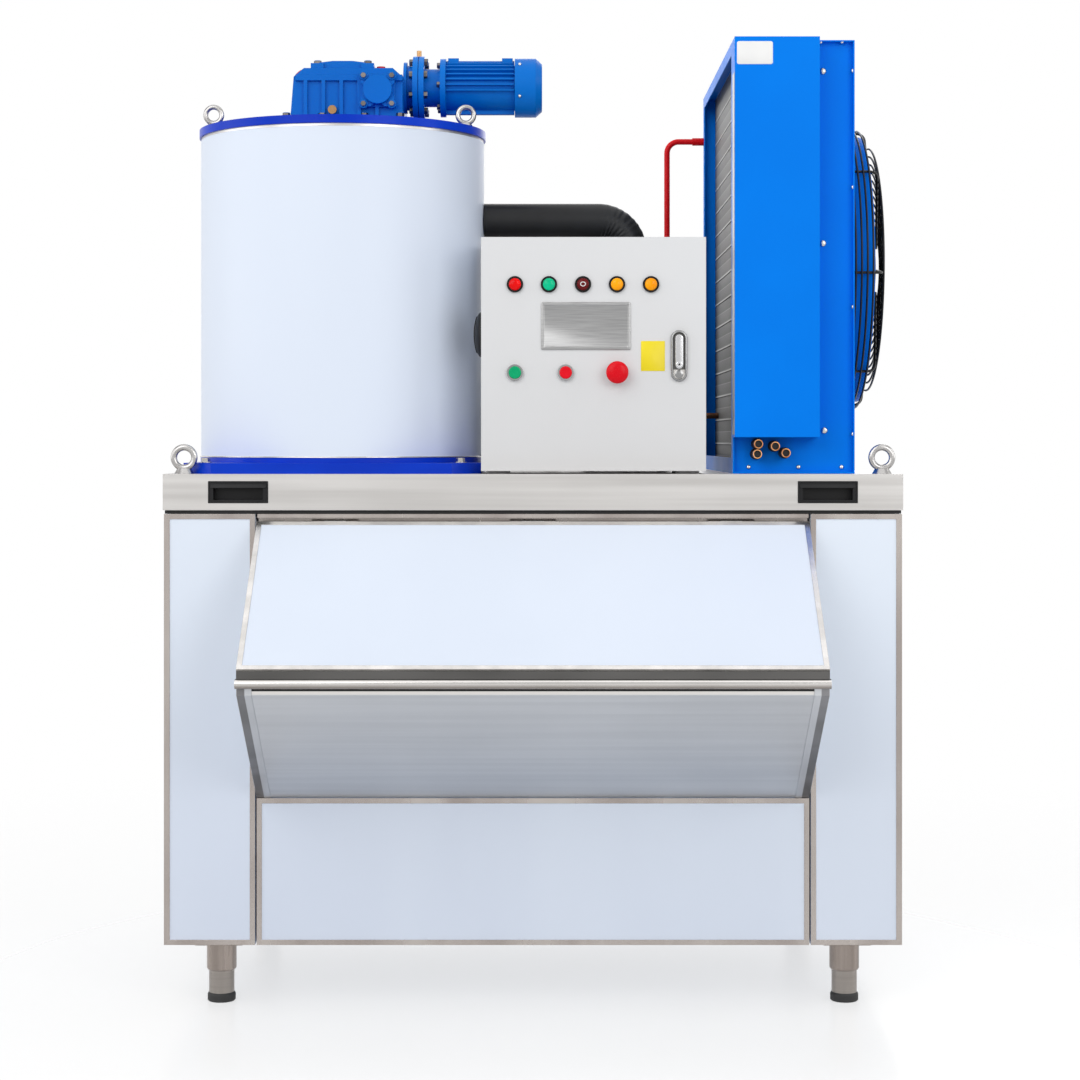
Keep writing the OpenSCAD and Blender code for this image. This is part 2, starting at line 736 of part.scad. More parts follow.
module reducer_end_cover() color(blue) home() {
    y = gear_front - rib_out;
    ear = 26;
    half = end_half;
    front = y - end_out;
    difference() {
        block([end_x - half, front, end_z - half], [end_x + half, y, end_z + half]);
        for (a = [0 : 90 : 270]) translate([end_x, 0, end_z]) rotate([0, a, 0])
            rod_y(front - 1, y + 1, 0, half + 11, 17);
    }
    rod_y(front - 7, y, end_x, end_z, 26.5);
    for (x = [-ear, ear], z = [-ear, ear]) {
        rod_y(front - 2, y, end_x + x, end_z + z, 8.5);
        translate([end_x + x, front - 1, end_z + z]) rotate([90, 0, 0]) cylinder(h = 5, r = 5.5, $fn = 6);
    }
}

module reducer_plugs() color(red) home() {
    plug_r = 8;
    slope = [gear_left + 16.5, gear_front + 40, gear_top - 8];
    translate(slope) rotate([0, -atan(16 / 19), 0]) cylinder(h = 7, r = plug_r);
    rod_z(gear_top, gear_top + 8, gear_end - 42, gear_front + 40, plug_r);
    rod_y(gear_front - 10, gear_front, gear_left + 79, gear_z + 26, plug_r);
}

module input_flange() color(blue) home() {
    gap = 1.4;
    half = (flange_t - gap) / 2;
    bolt_ring = flange_r - 10;
    nipple = [4.5, 11];
    rod_x(flange_x, flange_x + half, drum_y, axis_z, flange_r);
    rod_x(flange_x + half, neck_x - half, drum_y, axis_z, flange_r - 4);
    rod_x(neck_x - half, neck_x, drum_y, axis_z, flange_r);
    rod_x(neck_x - 1, motor_x, drum_y, axis_z, neck_r);
    for (a = [22.5 : 45 : 359]) translate([0, drum_y, axis_z]) rotate([a, 0, 0]) {
        translate([neck_x - 1, 0, bolt_ring]) rotate([0, 90, 0]) cylinder(h = 8, r = 7, $fn = 6);
        translate([flange_x - 7, 0, bolt_ring]) rotate([0, 90, 0]) cylinder(h = 8, r = 6, $fn = 6);
    }
    rod_z(axis_z + flange_r - 7, axis_z + flange_r + nipple[1], flange_x + flange_t / 2, drum_y, nipple[0]);
}

module motor_body() color(blue) home() {
    pad = [20, 18.5];
    box = [80, 28.5];
    fin = 1.4;
    bolt_ring = motor_r - 5.5;
    rod_x(motor_x, body_x, drum_y, axis_z, motor_r + 4);
    for (a = [30 : 60 : 359]) translate([0, drum_y, axis_z]) rotate([a, 0, 0])
        translate([motor_x - 6, 0, bolt_ring]) rotate([0, 90, 0]) cylinder(h = 7, r = 5.5, $fn = 6);
    rod_x(body_x - 1, cowl_x, drum_y, axis_z, core_r);
    for (a = [0 : 12 : 359]) if (a < 195 || a > 255)
        translate([0, drum_y, axis_z]) rotate([a, 0, 0])
            block([body_x - 1, core_r - 4, -fin], [cowl_x - 1, motor_r, fin]);
    for (x = [body_x + 4, cowl_x - 4 - pad[0]])
        block([x, drum_y - pad[1], axis_z + core_r - 8], [x + pad[0], drum_y + pad[1], axis_z + motor_r + 3]);
    block([body_x + 24, drum_y + core_r / 2, axis_z - box[1]],
        [body_x + 24 + box[0], drum_y + motor_r + 34, axis_z + box[1]]);
}

module motor_fan_cowl() color(blue) home() translate([cowl_x, drum_y, axis_z]) rotate([0, 90, 0]) difference() {
    out_r = motor_r + 4.5;
    bevel = 12;
    union() {
        cylinder(h = cowl_l - bevel, r = out_r);
        translate([0, 0, cowl_l - bevel]) cylinder(h = bevel, r1 = out_r, r2 = motor_r - 6);
    }
    for (r = [16, 26, 36]) translate([0, 0, cowl_l - 4]) difference() {
        cylinder(h = 6, r = r + 3);
        translate([0, 0, -1]) cylinder(h = 8, r = r);
    }
}

// Cabinet

module cabinet_shell() color(pale) home() {
    right = cab_x + cab_w;
    pad = 40;
    difference() {
        block([cab_x, shell_y, cab_z], [right, cab_back, cab_top]);
        block([cab_x + cab_sheet, shell_y + cab_sheet, cab_z + cab_sheet],
            [right - cab_sheet, cab_back - cab_sheet, cab_top - cab_sheet]);
        block([cab_x + flange_w, shell_y - 1, cab_z + flange_w],
            [right - flange_w, shell_y + cab_sheet + 1, cab_top - flange_w]);
        rod_x(cab_x - 1, cab_x + cab_sheet + 1, knob_at[0], knob_at[1], knob_pin_r + run_fit);
    }
    for (x = [cab_x + 10, right - 10 - pad], y = [shell_y + 8, cab_back - 8 - pad])
        block([x, y, cap_top], [x + pad, y + pad, cab_z]);
    for (z = hinge_z) {
        block([pivot[0] - 3, pivot[1], z], [pivot[0] + 3, shell_y + cab_sheet, z + hinge_l]);
        rod_z(z, z + hinge_l, pivot[0], pivot[1], 4);
        rod_z(z - hinge_l, z + 2 * hinge_l, pivot[0], pivot[1], 2);
    }
}

module cabinet_door() color(pale) home() difference() {
    y1 = cab_front + door_t;
    union() {
        difference() {
            block([cab_x, cab_front, cab_z], [cab_x + cab_w, y1, cab_top]);
            block([cab_x + cab_sheet, cab_front + cab_sheet, cab_z + cab_sheet],
                [cab_x + cab_w - cab_sheet, y1 + 1, cab_top - cab_sheet]);
            for (z = hinge_z)
                block([cab_x - 1, cab_front + 6, z - 1.5], [pivot[0] + 5, y1 + 1, z + hinge_l + 1.5]);
        }
        for (z = hinge_z, s = [-1, 1]) {
            z0 = z + s * (hinge_l + 0.5);
            block([pivot[0] - 4, cab_front + 1, z0], [pivot[0] + 4, pivot[1], z0 + hinge_l - 1]);
            rod_z(z0, z0 + hinge_l - 1, pivot[0], pivot[1], 4);
        }
    }
    for (z = hinge_z) rod_z(z - hinge_l - 2, z + 2 * hinge_l + 2, pivot[0], pivot[1], 2 + run_fit);
    for (i = [0 : 4]) rod_y(cab_front - 1, cab_front + 3, lamp_x + i * lamp_pitch, lamp_z, hole_r);
    for (x = [start_x, stop_x, estop_x]) rod_y(cab_front - 1, cab_front + 3, x, button_z, hole_r);
    rod_y(cab_front - 1, cab_front + 3, latch[0], latch[1] - 18, 11);
}

module component_plate() color(steel) home() {
    y = cab_back - cab_sheet - 14;
    right = cab_x + cab_w;
    contactor = [46, 73, 80];
    breaker = [34, 55, 82];
    block([cab_x + 30, y - 3, cab_z + 30], [right - 30, y, cab_top - 30]);
    for (x = [cab_x + 45, right - 45], z = [cab_z + 45, cab_top - 45]) rod_y(y - 1, y + 14, x, z, 5);
    for (z = [cab_z + 118, cab_z + 243]) block([cab_x + 50, y - 10, z], [right - 50, y - 2, z + 34]);
    for (i = [0 : 4])
        translate([cab_x + 60 + i * (contactor[0] + 10), y - 9 - contactor[1], cab_z + 95]) cube(contactor);
    for (i = [0 : 6])
        translate([cab_x + 60 + i * (breaker[0] + 4), y - 9 - breaker[1], cab_z + 222]) cube(breaker);
}

// Ring that stands on the door's face
module bezel(x, z, h, bore) {
    difference() {
        rod_y(cab_front - h, cab_front, x, z, bezel_r);
        rod_y(cab_front - h - 1, cab_front + 1, x, z, bore);
    }
}

module panel_bezels() color(black) home() {
    for (i = [0 : 4]) bezel(lamp_x + i * lamp_pitch, lamp_z, 4, hole_r);
    for (x = [start_x, stop_x]) bezel(x, button_z, 5, hole_r);
    bezel(estop_x, button_z, 5, 8 + run_fit);
}

module lamp_lenses() color(red) home() for (i = [0 : 4]) {
    x = lamp_x + i * lamp_pitch;
    r = hole_r - clear;
    rod_y(cab_front - 8, cab_front + 34, x, lamp_z, r);
    translate([x, cab_front - 8, lamp_z]) rotate([90, 0, 0]) cylinder(h = 3, r1 = r, r2 = r - 3);
}

module push_button(x) {
    rod_y(cab_front - 8, cab_front + 20, x, button_z, hole_r - run_fit);
}
module start_button() color("green") home() push_button(start_x);
module stop_button() color(red) home() push_button(stop_x);

module estop_button() color(red) home() translate([estop_x, cab_front, button_z]) rotate([90, 0, 0]) {
    translate([0, 0, -20]) cylinder(h = 34, r = 8);
    translate([0, 0, 12]) rotate_extrude() polygon([[0, 0], [estop_r - 3, 0], [estop_r, 3], [estop_r, 7],
        [estop_r - 3, 11], [estop_r - 9, 13], [0, 14]]);
}

// Oval plate with round ends in the XZ plane, from y0 to y1
module oval(y0, y1, w, h) {
    block([latch[0] - w / 2, y0, latch[1] - h / 2 + w / 2], [latch[0] + w / 2, y1, latch[1] + h / 2 - w / 2]);
    for (s = [-1, 1]) rod_y(y0, y1, latch[0], latch[1] + s * (h - w) / 2, w / 2);
}

module latch_plate() color(steel) home() {
    difference() {
        oval(cab_front - 6, cab_front, latch_w, latch_h);
        oval(cab_front - 7, cab_front - 3, latch_w - 7, latch_h - 7);
    }
    rod_y(cab_front - 1, cab_front + 30, latch[0], latch[1] - 18, 10.5);
    rod_x(latch[0] - latch_w / 2 + 2, latch[0] + latch_w / 2 - 2, flip_y, flip_z, flip_r);
}

module latch_handle() color(steel) home() difference() {
    w = 15;
    front = flip_y - 3.5;
    back = flip_y + flip_r + 0.5;
    round_z = latch[1] + latch_h / 2 - 7 - w / 2;
    union() {
        block([latch[0] - w / 2, front, flip_z], [latch[0] + w / 2, back, round_z]);
        rod_y(front, back, latch[0], round_z, w / 2);
        rod_x(latch[0] - w / 2, latch[0] + w / 2, flip_y, flip_z, flip_r + 0.5);
    }
    rod_x(latch[0] - w, latch[0] + w, flip_y, flip_z, flip_r + run_fit);
}

module main_switch_knob() color(black) home() {
    grip = [7, knob_r - 4];
    rod_x(cab_x - 7, cab_x - 0.5, knob_at[0], knob_at[1], knob_r);
    rod_x(cab_x - 1, cab_x + 12, knob_at[0], knob_at[1], knob_pin_r);
    block(concat(cab_x - 11, knob_at - grip), concat(cab_x - 6, knob_at + grip));
}

// Condenser

module condenser_casing() color(blue) home() difference() {
    t = cond_sheet;
    rim = 22;
    block([cond_x, case_y, cap_top], [cond_right, cond_back, cond_top]);
    block([cond_x + t, panel_y + t, cap_top + t], [cond_right - t, cond_back - t, cond_top - t]);
    block([cond_x + t, case_y - 1, cap_top + t], [cond_right - t, panel_y, cond_top - t]);
    block([cond_x - 1, panel_y + rim, cap_top + rim + 6], [cond_x + t + 1, cond_back - rim, cond_top - rim]);
    rod_x(cond_right - t - 1, cond_right + 1, fan_y, fan_z, shroud_r);
}

module condenser_cover() color(blue) home() difference() {
    t = cond_sheet;
    low = cap_top + cover_gap;
    right = cond_x + cover_w;
    skirt = t + seat_fit;
    union() {
        block([cond_x, cond_y, low], [right, case_y, cond_top]);
        block([cond_x + skirt, case_y - 1, low], [right, panel_y, cond_top - skirt]);
    }
    block([cond_x + skirt + t, cond_y + t, low + t], [right - t, panel_y + 1, cond_top - skirt - t]);
}

module condenser_coil() color(steel) home() difference() {
    t = cond_sheet;
    z0 = cap_top + t;
    z1 = cond_top - t;
    block([coil_x, panel_y + t, z0], [coil_x + coil_t, cond_back - t, z1]);
    for (z = [z0 + coil_band : coil_band : z1 - 10])
        block([coil_x - 1, panel_y, z - 1], [coil_x + 3, cond_back, z + 1]);
}

module coil_stubs() color(copper) home() for (p = [[43, 53], [41, 35], [73, 49], [92, 37]])
    translate([cond_x + p[0], 0, cap_top + p[1]]) difference() {
        rod_y(case_y - 32, panel_y, 0, 0, stub_r);
        rod_y(case_y - 33, case_y - 2, 0, 0, stub_r - 1.5);
    }

module fan_shroud() color(blue) home() translate([cond_right, fan_y, fan_z]) rotate([0, 90, 0]) difference() {
    union() {
        cylinder(h = shroud_h, r = shroud_out);
        cylinder(h = 4, r = shroud_out + 16);
    }
    translate([0, 0, -1]) cylinder(h = shroud_h + 2, r = shroud_r);
}

// Wire guard: bent rods carry the side rings outside and the domed front rings before them
module wire_ring(r) { rotate([0, 90, 0]) rotate_extrude() translate([r, 0]) circle(wire_r); }

module fan_guard() color(black) home() translate([0, fan_y, fan_z]) {
    side_step = (guard_rim_x - guard_bend - side_x) / 3;
    for (a = [5 : 45 : 359]) rotate([a, 0, 0])
        pipe_run([[cond_right + 4, 0, rod_ring], [guard_rim_x, 0, rod_ring], [guard_hub_x, 0, hub_ring]],
            rod_r, guard_bend);
    for (i = [0 : 3]) translate([side_x + i * side_step, 0, 0]) wire_ring(rod_ring + front_gap);
    for (r = [hub_ring + 8 : ring_pitch : rod_ring - guard_bend])
        translate([dome_x(r) + front_gap, 0, 0]) wire_ring(r);
}

module fan_motor() color(black) home() {
    plate_r = hub_ring + 8;
    x = dome_x(plate_r) - rod_r - 2 * wire_gap;
    rod_x(x - hub_plate_t, x, fan_y, fan_z, plate_r);
    rod_x(rotor_x + 4, x, fan_y, fan_z, spindle_r);
}

module fan_rotor() color(black) home() translate([rotor_x, fan_y, fan_z]) rotate([0, 90, 0]) difference() {
    tip = shroud_r - tip_gap;
    root = hub_r - 8;
    bow = tip * 0.7;
    blade = [[root, -36], [bow, -66], [tip + 20, -58], [tip + 20, 44], [bow, 46], [root, 32]];
    pitch = 24;
    union() {
        cylinder(h = rotor_l, r = hub_r);
        intersection() {
            for (i = [0 : blade_n - 1]) rotate([0, 0, i * 360 / blade_n]) translate([0, 0, rotor_l / 2])
                rotate([pitch, 0, 0]) translate([0, 0, -1.5]) linear_extrude(3) polygon(blade);
            translate([0, 0, -rotor_l]) cylinder(h = 3 * rotor_l, r = tip);
        }
    }
    translate([0, 0, -1]) cylinder(h = rotor_l + 2, r = spindle_r + run_fit);
}

// Refrigeration

module suction_pipe() color(black) home()
    pipe_run([[cab_x + 0.4, drum_y, suction_z], [suction_x, drum_y, suction_z],
        [suction_x, drum_y, suction_low], [suction_x, comp_y - comp_r, suction_low]], suction_r, suction_bend);

module discharge_pipe() color(red) home() {
    low = cap_top + comp_h + 40;
    pipe_run([[cond_x, hot_y, hot_z], [hot_x, hot_y, hot_z], [hot_x, hot_y, low], [hot_x, comp_y, low],
        [suction_x, comp_y, low], [suction_x, comp_y, cap_top + comp_h]], hot_r, hot_bend);
    rod_x(cond_x - 24, cond_x, hot_y, hot_z, hot_r + 2);
}

module compressor() color(black) home() translate([suction_x, comp_y, cap_top]) {
    r = comp_r;
    rotate_extrude() polygon([[0, 0.2 * r], [0.84 * r, 0.2 * r], [0.95 * r, 0.35 * r], [0.95 * r, 0.73 * r],
        [r, 0.78 * r], [r, comp_h - 0.8 * r], [0.93 * r, comp_h - 0.47 * r], [0.65 * r, comp_h - 0.14 * r],
        [0.24 * r, comp_h], [0, comp_h]]);
    block([-r, -0.7 * r, 0.14 * r], [r, 0.7 * r, 0.24 * r]);
    for (x = [-1, 1], y = [-1, 1])
        translate([x * 0.86 * r, y * 0.55 * r, 0]) cylinder(h = 0.15 * r, r = 0.13 * r);
}

module liquid_receiver() color(black) home() {
    end = 20;
    x = [recv_x[0] + end, recv_x[1] - end];
    rod_x(x[0], x[1], recv_y, recv_z, recv_r);
    translate([x[0], recv_y, recv_z]) rotate([0, -90, 0]) cylinder(h = end, r1 = recv_r, r2 = 0.63 * recv_r);
    translate([x[1], recv_y, recv_z]) rotate([0, 90, 0]) cylinder(h = end, r1 = recv_r, r2 = 0.63 * recv_r);
    for (a = [x[0] + 50, x[1] - 80])
        block([a, recv_y - 0.75 * recv_r, cap_top], [a + 30, recv_y + 0.75 * recv_r, recv_z - 0.55 * recv_r]);
}

module liquid_line() color(copper) home() {
    drier_r = 4 * line_r;
    drum_back = drum_y + drum_r;
    rod_x(recv_x[1], coil_x, recv_y, recv_z, line_r);
    pipe_run([[recv_x[0], recv_y, recv_z], [drum_x, recv_y, recv_z], [drum_x, drum_back, recv_z]],
        line_r, hot_bend);
    rod_y(drum_back + 30, recv_y - 70, drum_x, recv_z, drier_r);
}

bin_floor();
bin_side_panels();
bin_back_panel();
front_side_panels();
front_lower_panel();
bin_trims();
hopper_underside();
hopper_cheeks();
bin_lid();
lid_frame();
lid_grip_rail();
lid_hinge_rail();
top_cap();
cap_gasket();
pull_cups();
eye_bolts();
leg_tubes();
foot_front_left();
foot_front_right();
foot_back_left();
foot_back_right();
drum_base_frame();
drum_jacket();
drum_top_plate();
evaporator_wall();
bearing_spider();
scraper_shaft();
ice_scraper();
water_distributor();
reducer_housing();
reducer_top_cover();
reducer_end_cover();
reducer_plugs();
input_flange();
motor_body();
motor_fan_cowl();
cabinet_shell();
cabinet_door();
component_plate();
panel_bezels();
lamp_lenses();
start_button();
stop_button();
estop_button();
latch_plate();
latch_handle();
main_switch_knob();
condenser_casing();
condenser_cover();
condenser_coil();
coil_stubs();
fan_shroud();
fan_guard();
fan_motor();
fan_rotor();
suction_pipe();
discharge_pipe();
compressor();
liquid_receiver();
liquid_line();
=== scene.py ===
import math
import bpy
import numpy as np
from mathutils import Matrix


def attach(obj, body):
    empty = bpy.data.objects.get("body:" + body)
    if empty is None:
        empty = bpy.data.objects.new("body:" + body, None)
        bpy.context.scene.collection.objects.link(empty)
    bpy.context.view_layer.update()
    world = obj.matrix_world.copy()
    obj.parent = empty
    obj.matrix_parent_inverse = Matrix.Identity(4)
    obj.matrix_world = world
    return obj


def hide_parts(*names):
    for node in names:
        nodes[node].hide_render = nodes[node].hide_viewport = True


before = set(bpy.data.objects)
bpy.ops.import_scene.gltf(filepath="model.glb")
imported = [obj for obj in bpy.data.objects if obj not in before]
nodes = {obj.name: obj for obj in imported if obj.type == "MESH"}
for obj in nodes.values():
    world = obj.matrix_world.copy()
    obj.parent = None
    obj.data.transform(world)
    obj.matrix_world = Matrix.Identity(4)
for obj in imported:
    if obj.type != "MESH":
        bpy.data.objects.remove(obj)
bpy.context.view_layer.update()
print("loaded", len(nodes), "nodes")

# drawing millimetres, x from the bin's middle and y from its front, to metres in the part's frame
rowShift = np.array([5.825, 286.0, 0.0])
drumMiddle = (-357.0, 280.0)  # axis of the drum in drawing millimetres
doorFace = 20.0  # front of the cabinet's door


def place(points):
    return (np.asarray(points, float) - rowShift) / 1000.0


# a socket of a material with arithmetic on it
class Wire:
    def __init__(self, tree, socket):
        self.tree = tree
        self.socket = socket

    # any node: its settings first, then the values or links of its sockets
    def add(self, kind, settings, sockets, out=0):
        node = self.tree.nodes.new(kind)
        for key, value in settings.items():
            setattr(node, key, value)
        for key, value in sockets.items():
            if isinstance(value, Wire):
                self.tree.links.new(value.socket, node.inputs[key])
            else:
                node.inputs[key].default_value = value
        return Wire(self.tree, node.outputs[out])

    def maths(self, kind, *values):
        return self.add("ShaderNodeMath", {"operation": kind}, dict(enumerate(values)))

    def __add__(self, other):
        return self.maths("ADD", self, other)

    def __radd__(self, other):
        return self.maths("ADD", other, self)

    def __sub__(self, other):
        return self.maths("SUBTRACT", self, other)

    def __rsub__(self, other):
        return self.maths("SUBTRACT", other, self)

    def __mul__(self, other):
        return self.maths("MULTIPLY", self, other)

    def __rmul__(self, other):
        return self.maths("MULTIPLY", other, self)


# coordinates times a stretch, then a fractal noise from 0 to 1
def noise(coords, scale, stretch=(1.0, 1.0, 1.0), detail=3.0):
    scaled = coords.add("ShaderNodeVectorMath", {"operation": "MULTIPLY"}, {0: coords, 1: stretch})
    sockets = {"Vector": scaled, "Scale": scale, "Detail": detail}
    return coords.add("ShaderNodeTexNoise", {}, sockets)


# smooth step of a value from 0 at low to 1 at high
def step(value, low, high):
    sockets = {"Value": value, "From Min": low, "From Max": high}
    return value.add("ShaderNodeMapRange", {"interpolation_type": "SMOOTHSTEP"}, sockets)


# two colours by a factor
def blend(factor, first, second):
    sockets = {0: factor, 6: first, 7: second}
    return factor.add("ShaderNodeMix", {"data_type": "RGBA"}, sockets, 2)


# height in metres to a normal, with the edges rounded by a small radius
def relief(coords, height, strength, distance, edge):
    sockets = {"Strength": strength, "Distance": distance, "Height": height}
    if edge > 0.0:
        sockets["Normal"] = coords.add("ShaderNodeBevel", {"samples": 4}, {"Radius": edge})
    return coords.add("ShaderNodeBump", {}, sockets)


def axis(coords, name):
    return coords.add("ShaderNodeSeparateXYZ", {}, {0: coords}, name)


def rgb(red, green, blue):
    return (red, green, blue, 1.0)


# a material from a function of its coordinates that names the shader's sockets
def makeMaterial(name, build):
    mat = bpy.data.materials.new(name)
    mat.use_nodes = True
    tree = mat.node_tree
    shader = tree.nodes["Principled BSDF"]
    coords = Wire(tree, tree.nodes.new("ShaderNodeTexCoord").outputs["Object"])
    for key, value in build(coords).items():
        if isinstance(value, Wire):
            tree.links.new(value.socket, shader.inputs[key])
        else:
            shader.inputs[key].default_value = value
    return mat


# glossy paint: colour drifts between two shades, a faint orange peel, roundish edges
def paint(name, light, dark, rough, peel=0.15, edge=0.0012, gloss=0.12):
    def build(coords):
        drift = noise(coords, 3.0)
        grain = noise(coords, 260.0, detail=2.0)
        fine = step(drift, 0.3, 0.7) * 0.8 + grain * 0.2
        return {
            "Base Color": blend(fine, rgb(*dark), rgb(*light)),
            "Roughness": rough - 0.06 + 0.12 * noise(coords, 14.0),
            "Specular IOR Level": gloss,
            "Normal": relief(coords, grain, peel, 0.0006, edge),
        }
    return makeMaterial(name, build)


# brushed metal: long streaks along one axis in colour, roughness and height
def brushed(name, light, dark, rough, stretch, edge=0.0008):
    def build(coords):
        streak = noise(coords, 22.0, stretch, 5.0)
        cloud = noise(coords, 4.0)
        tone = step(streak * 0.7 + cloud * 0.3, 0.3, 0.7)
        return {
            "Base Color": blend(tone, rgb(*dark), rgb(*light)),
            "Metallic": 1.0,
            "Roughness": rough - 0.08 + 0.16 * streak,
            "Normal": relief(coords, streak, 0.12, 0.0004, edge),
        }
    return makeMaterial(name, build)


# plain plastic or rubber with a grain
def plastic(name, light, dark, rough, grainScale=400.0, peel=0.2, edge=0.0008, gloss=0.5):
    def build(coords):
        grain = noise(coords, grainScale, detail=2.0)
        cloud = step(noise(coords, 9.0), 0.3, 0.7)
        return {
            "Base Color": blend(cloud, rgb(*dark), rgb(*light)),
            "Roughness": rough - 0.06 + 0.12 * grain,
            "Specular IOR Level": gloss,
            "Normal": relief(coords, grain, peel, 0.0003, edge),
        }
    return makeMaterial(name, build)


# coloured lens that also glows a little
def lens(name, light, dark, glow):
    def build(coords):
        cloud = step(noise(coords, 40.0), 0.3, 0.7)
        tint = blend(cloud, rgb(*dark), rgb(*light))
        return {
            "Base Color": tint,
            "Roughness": 0.1 + 0.08 * noise(coords, 120.0),
            "Specular IOR Level": 0.16,
            "Emission Color": tint,
            "Emission Strength": glow,
        }
    return makeMaterial(name, build)


# white sheet: painted light makes it lighter from low to high with height, with faint long painted
# reflections
def whiteSheet(name, low, high):
    def build(coords):
        # painted light: the sheet is lighter towards the top
        rise = step(axis(coords, "Z"), 0.05, 0.9)
        # faint long painted reflections: upright streaks in the colour
        drift = noise(coords, 2.5, (1.0, 1.0, 0.25))
        tone = rise * 0.7 + step(drift, 0.35, 0.65) * 0.3
        return {
            "Base Color": blend(tone, rgb(*low), rgb(*high)),
            "Roughness": 0.38 + 0.14 * noise(coords, 8.0),
            "Specular IOR Level": 0.22,
            "Coat Weight": 0.06,
            "Coat Roughness": 0.15,
            "Normal": relief(coords, noise(coords, 5.0, (1.0, 1.0, 0.3)), 0.1, 0.004, 0.0008),
        }
    return makeMaterial(name, build)


# powder coat: a fine even grain on pale grey, with painted light that makes it lighter towards the top
def powderCoat(coords):
    grain = noise(coords, 620.0, detail=2.0)
    # painted light: lighter from the cabinet's foot to its top
    rise = step(axis(coords, "Z"), 0.94, 1.36)
    tone = rise * 0.6 + step(noise(coords, 2.0), 0.3, 0.7) * 0.25 + grain * 0.15
    return {
        "Base Color": blend(tone, rgb(0.645, 0.64, 0.64), rgb(0.725, 0.735, 0.75)),
        "Roughness": 0.42 + 0.14 * grain,
        "Normal": relief(coords, grain, 0.35, 0.0004, 0.0012),
    }


# fin coil: rows of a pitch in height, each with a painted highlight along its edge and painted shade below
# it, and fine upright fins between them; painted light also brightens the coil towards the top
finSet = {"low": 0.946, "pitch": 0.048, "edge": 0.09}


def finPack(coords):
    height = axis(coords, "Z")
    row = (height - finSet["low"]) * (1.0 / finSet["pitch"])
    phase = row - row.maths("FLOOR", row)
    half = phase * 2.0
    fold = half - half.maths("FLOOR", half)
    # painted highlight: a bright line at each row's edge and at the crease in its middle
    edge = 1.0 - step(phase, 0.0, finSet["edge"])
    creaseHighlight = 1.0 - step(fold, 0.0, finSet["edge"])
    sockets = {"Vector": coords, "Scale": 95.0, "Distortion": 0.4}
    wave = coords.add("ShaderNodeTexWave", {"bands_direction": "Y"}, sockets)
    cloud = noise(coords, 6.0, (1.0, 0.4, 3.0))
    # painted light: the coil brighter towards its top
    rise = step(height, 0.95, 1.75)
    tone = rise * 0.31 + fold * 0.12 + wave * 0.03 + cloud * 0.06 + edge * 1.1 + creaseHighlight * 0.4
    return {
        "Base Color": blend(tone, rgb(0.018, 0.018, 0.018), rgb(0.6, 0.6, 0.59)),
        "Metallic": 0.4,
        "Roughness": 0.42 + 0.2 * cloud,
        "Specular IOR Level": 0.2,
        "Normal": relief(coords, wave, 0.35, 0.0008, 0.0),
    }


# finishes that share a node: light and dark shade, metal, roughness
finishSet = {
    "castBlue": ((0.0, 0.17, 0.63), (0.0, 0.13, 0.53), 0.0, 0.36),
    "deepBlue": ((0.0, 0.045, 0.58), (0.0, 0.03, 0.46), 0.0, 0.3),
    "plated": ((0.6, 0.58, 0.54), (0.4, 0.38, 0.35), 1.0, 0.26),
    "gloss": ((0.014, 0.014, 0.014), (0.008, 0.008, 0.008), 0.0, 0.3),
    "bright": ((0.66, 0.64, 0.62), (0.56, 0.54, 0.52), 1.0, 0.17),
    "strip": ((0.13, 0.127, 0.123), (0.09, 0.088, 0.085), 1.0, 0.3),
    "redCap": ((0.66, 0.02, 0.02), (0.52, 0.012, 0.012), 0.0, 0.3),
    "brass": ((0.42, 0.25, 0.12), (0.3, 0.17, 0.08), 1.0, 0.3),
    "chromeRing": ((0.36, 0.36, 0.36), (0.28, 0.28, 0.28), 1.0, 0.2),
    # painted shade for the lower half of the lid's rail
    "railShade": ((0.3, 0.27, 0.25), (0.22, 0.2, 0.185), 1.0, 0.2),
    "hopper": ((0.56, 0.575, 0.6), (0.49, 0.505, 0.53), 1.0, 0.4),
    # painted shade for the edges of the hopper's cheeks
    "edge": ((0.25, 0.25, 0.26), (0.16, 0.16, 0.165), 1.0, 0.36),
}


# one finish over a whole node, then others laid on it by masks: colour, metal and roughness change together
def layered(coords, first, *others):
    drift = step(noise(coords, 9.0, (0.4, 1.0, 1.0)), 0.3, 0.7)
    grain = noise(coords, 200.0, detail=2.0)
    light, dark, metal, rough = finishSet[first]
    colour = blend(drift, rgb(*dark), rgb(*light))
    for mask, name in others:
        light, dark, nextMetal, nextRough = finishSet[name]
        colour = blend(mask, colour, blend(drift, rgb(*dark), rgb(*light)))
        metal = metal + (nextMetal - metal) * mask
        rough = rough + (nextRough - rough) * mask
    return {
        "Base Color": colour,
        "Metallic": metal,
        "Roughness": rough - 0.03 + 0.06 * grain,
        "Specular IOR Level": 0.15,
        "Normal": relief(coords, grain, 0.08, 0.0004, 0.0006),
    }


# metres between which one finish gives way to the next: mostly heights, distances from the drum's
# axis for baseReach and from the middle plane for the cheeks, drawing millimetres of depth for latchFloor
mixSet = {
    "buttons": (1.21, 1.2),
    "railShade": (0.6035, 0.5965),
    "railStrip": (0.6085, 0.6095),
    "noseGapShadow": (0.5888, 0.5892),
    "noseLineHighlight": (0.5834, 0.5838),
    "latchFloor": (16.3, 16.9),
    "latchRest": (1.127, 1.1265),
    "baseTop": (0.9614, 0.9618),
    "baseReach": (0.28, 0.29),
    "drainPlug": (1.64, 1.63),
    "nipple": (1.7228, 1.7232),
    "cheekInner": (0.4735, 0.4745),
    "cheekOuter": (0.4869, 0.4872),
    "footPad": (0.0158, 0.0162),
}


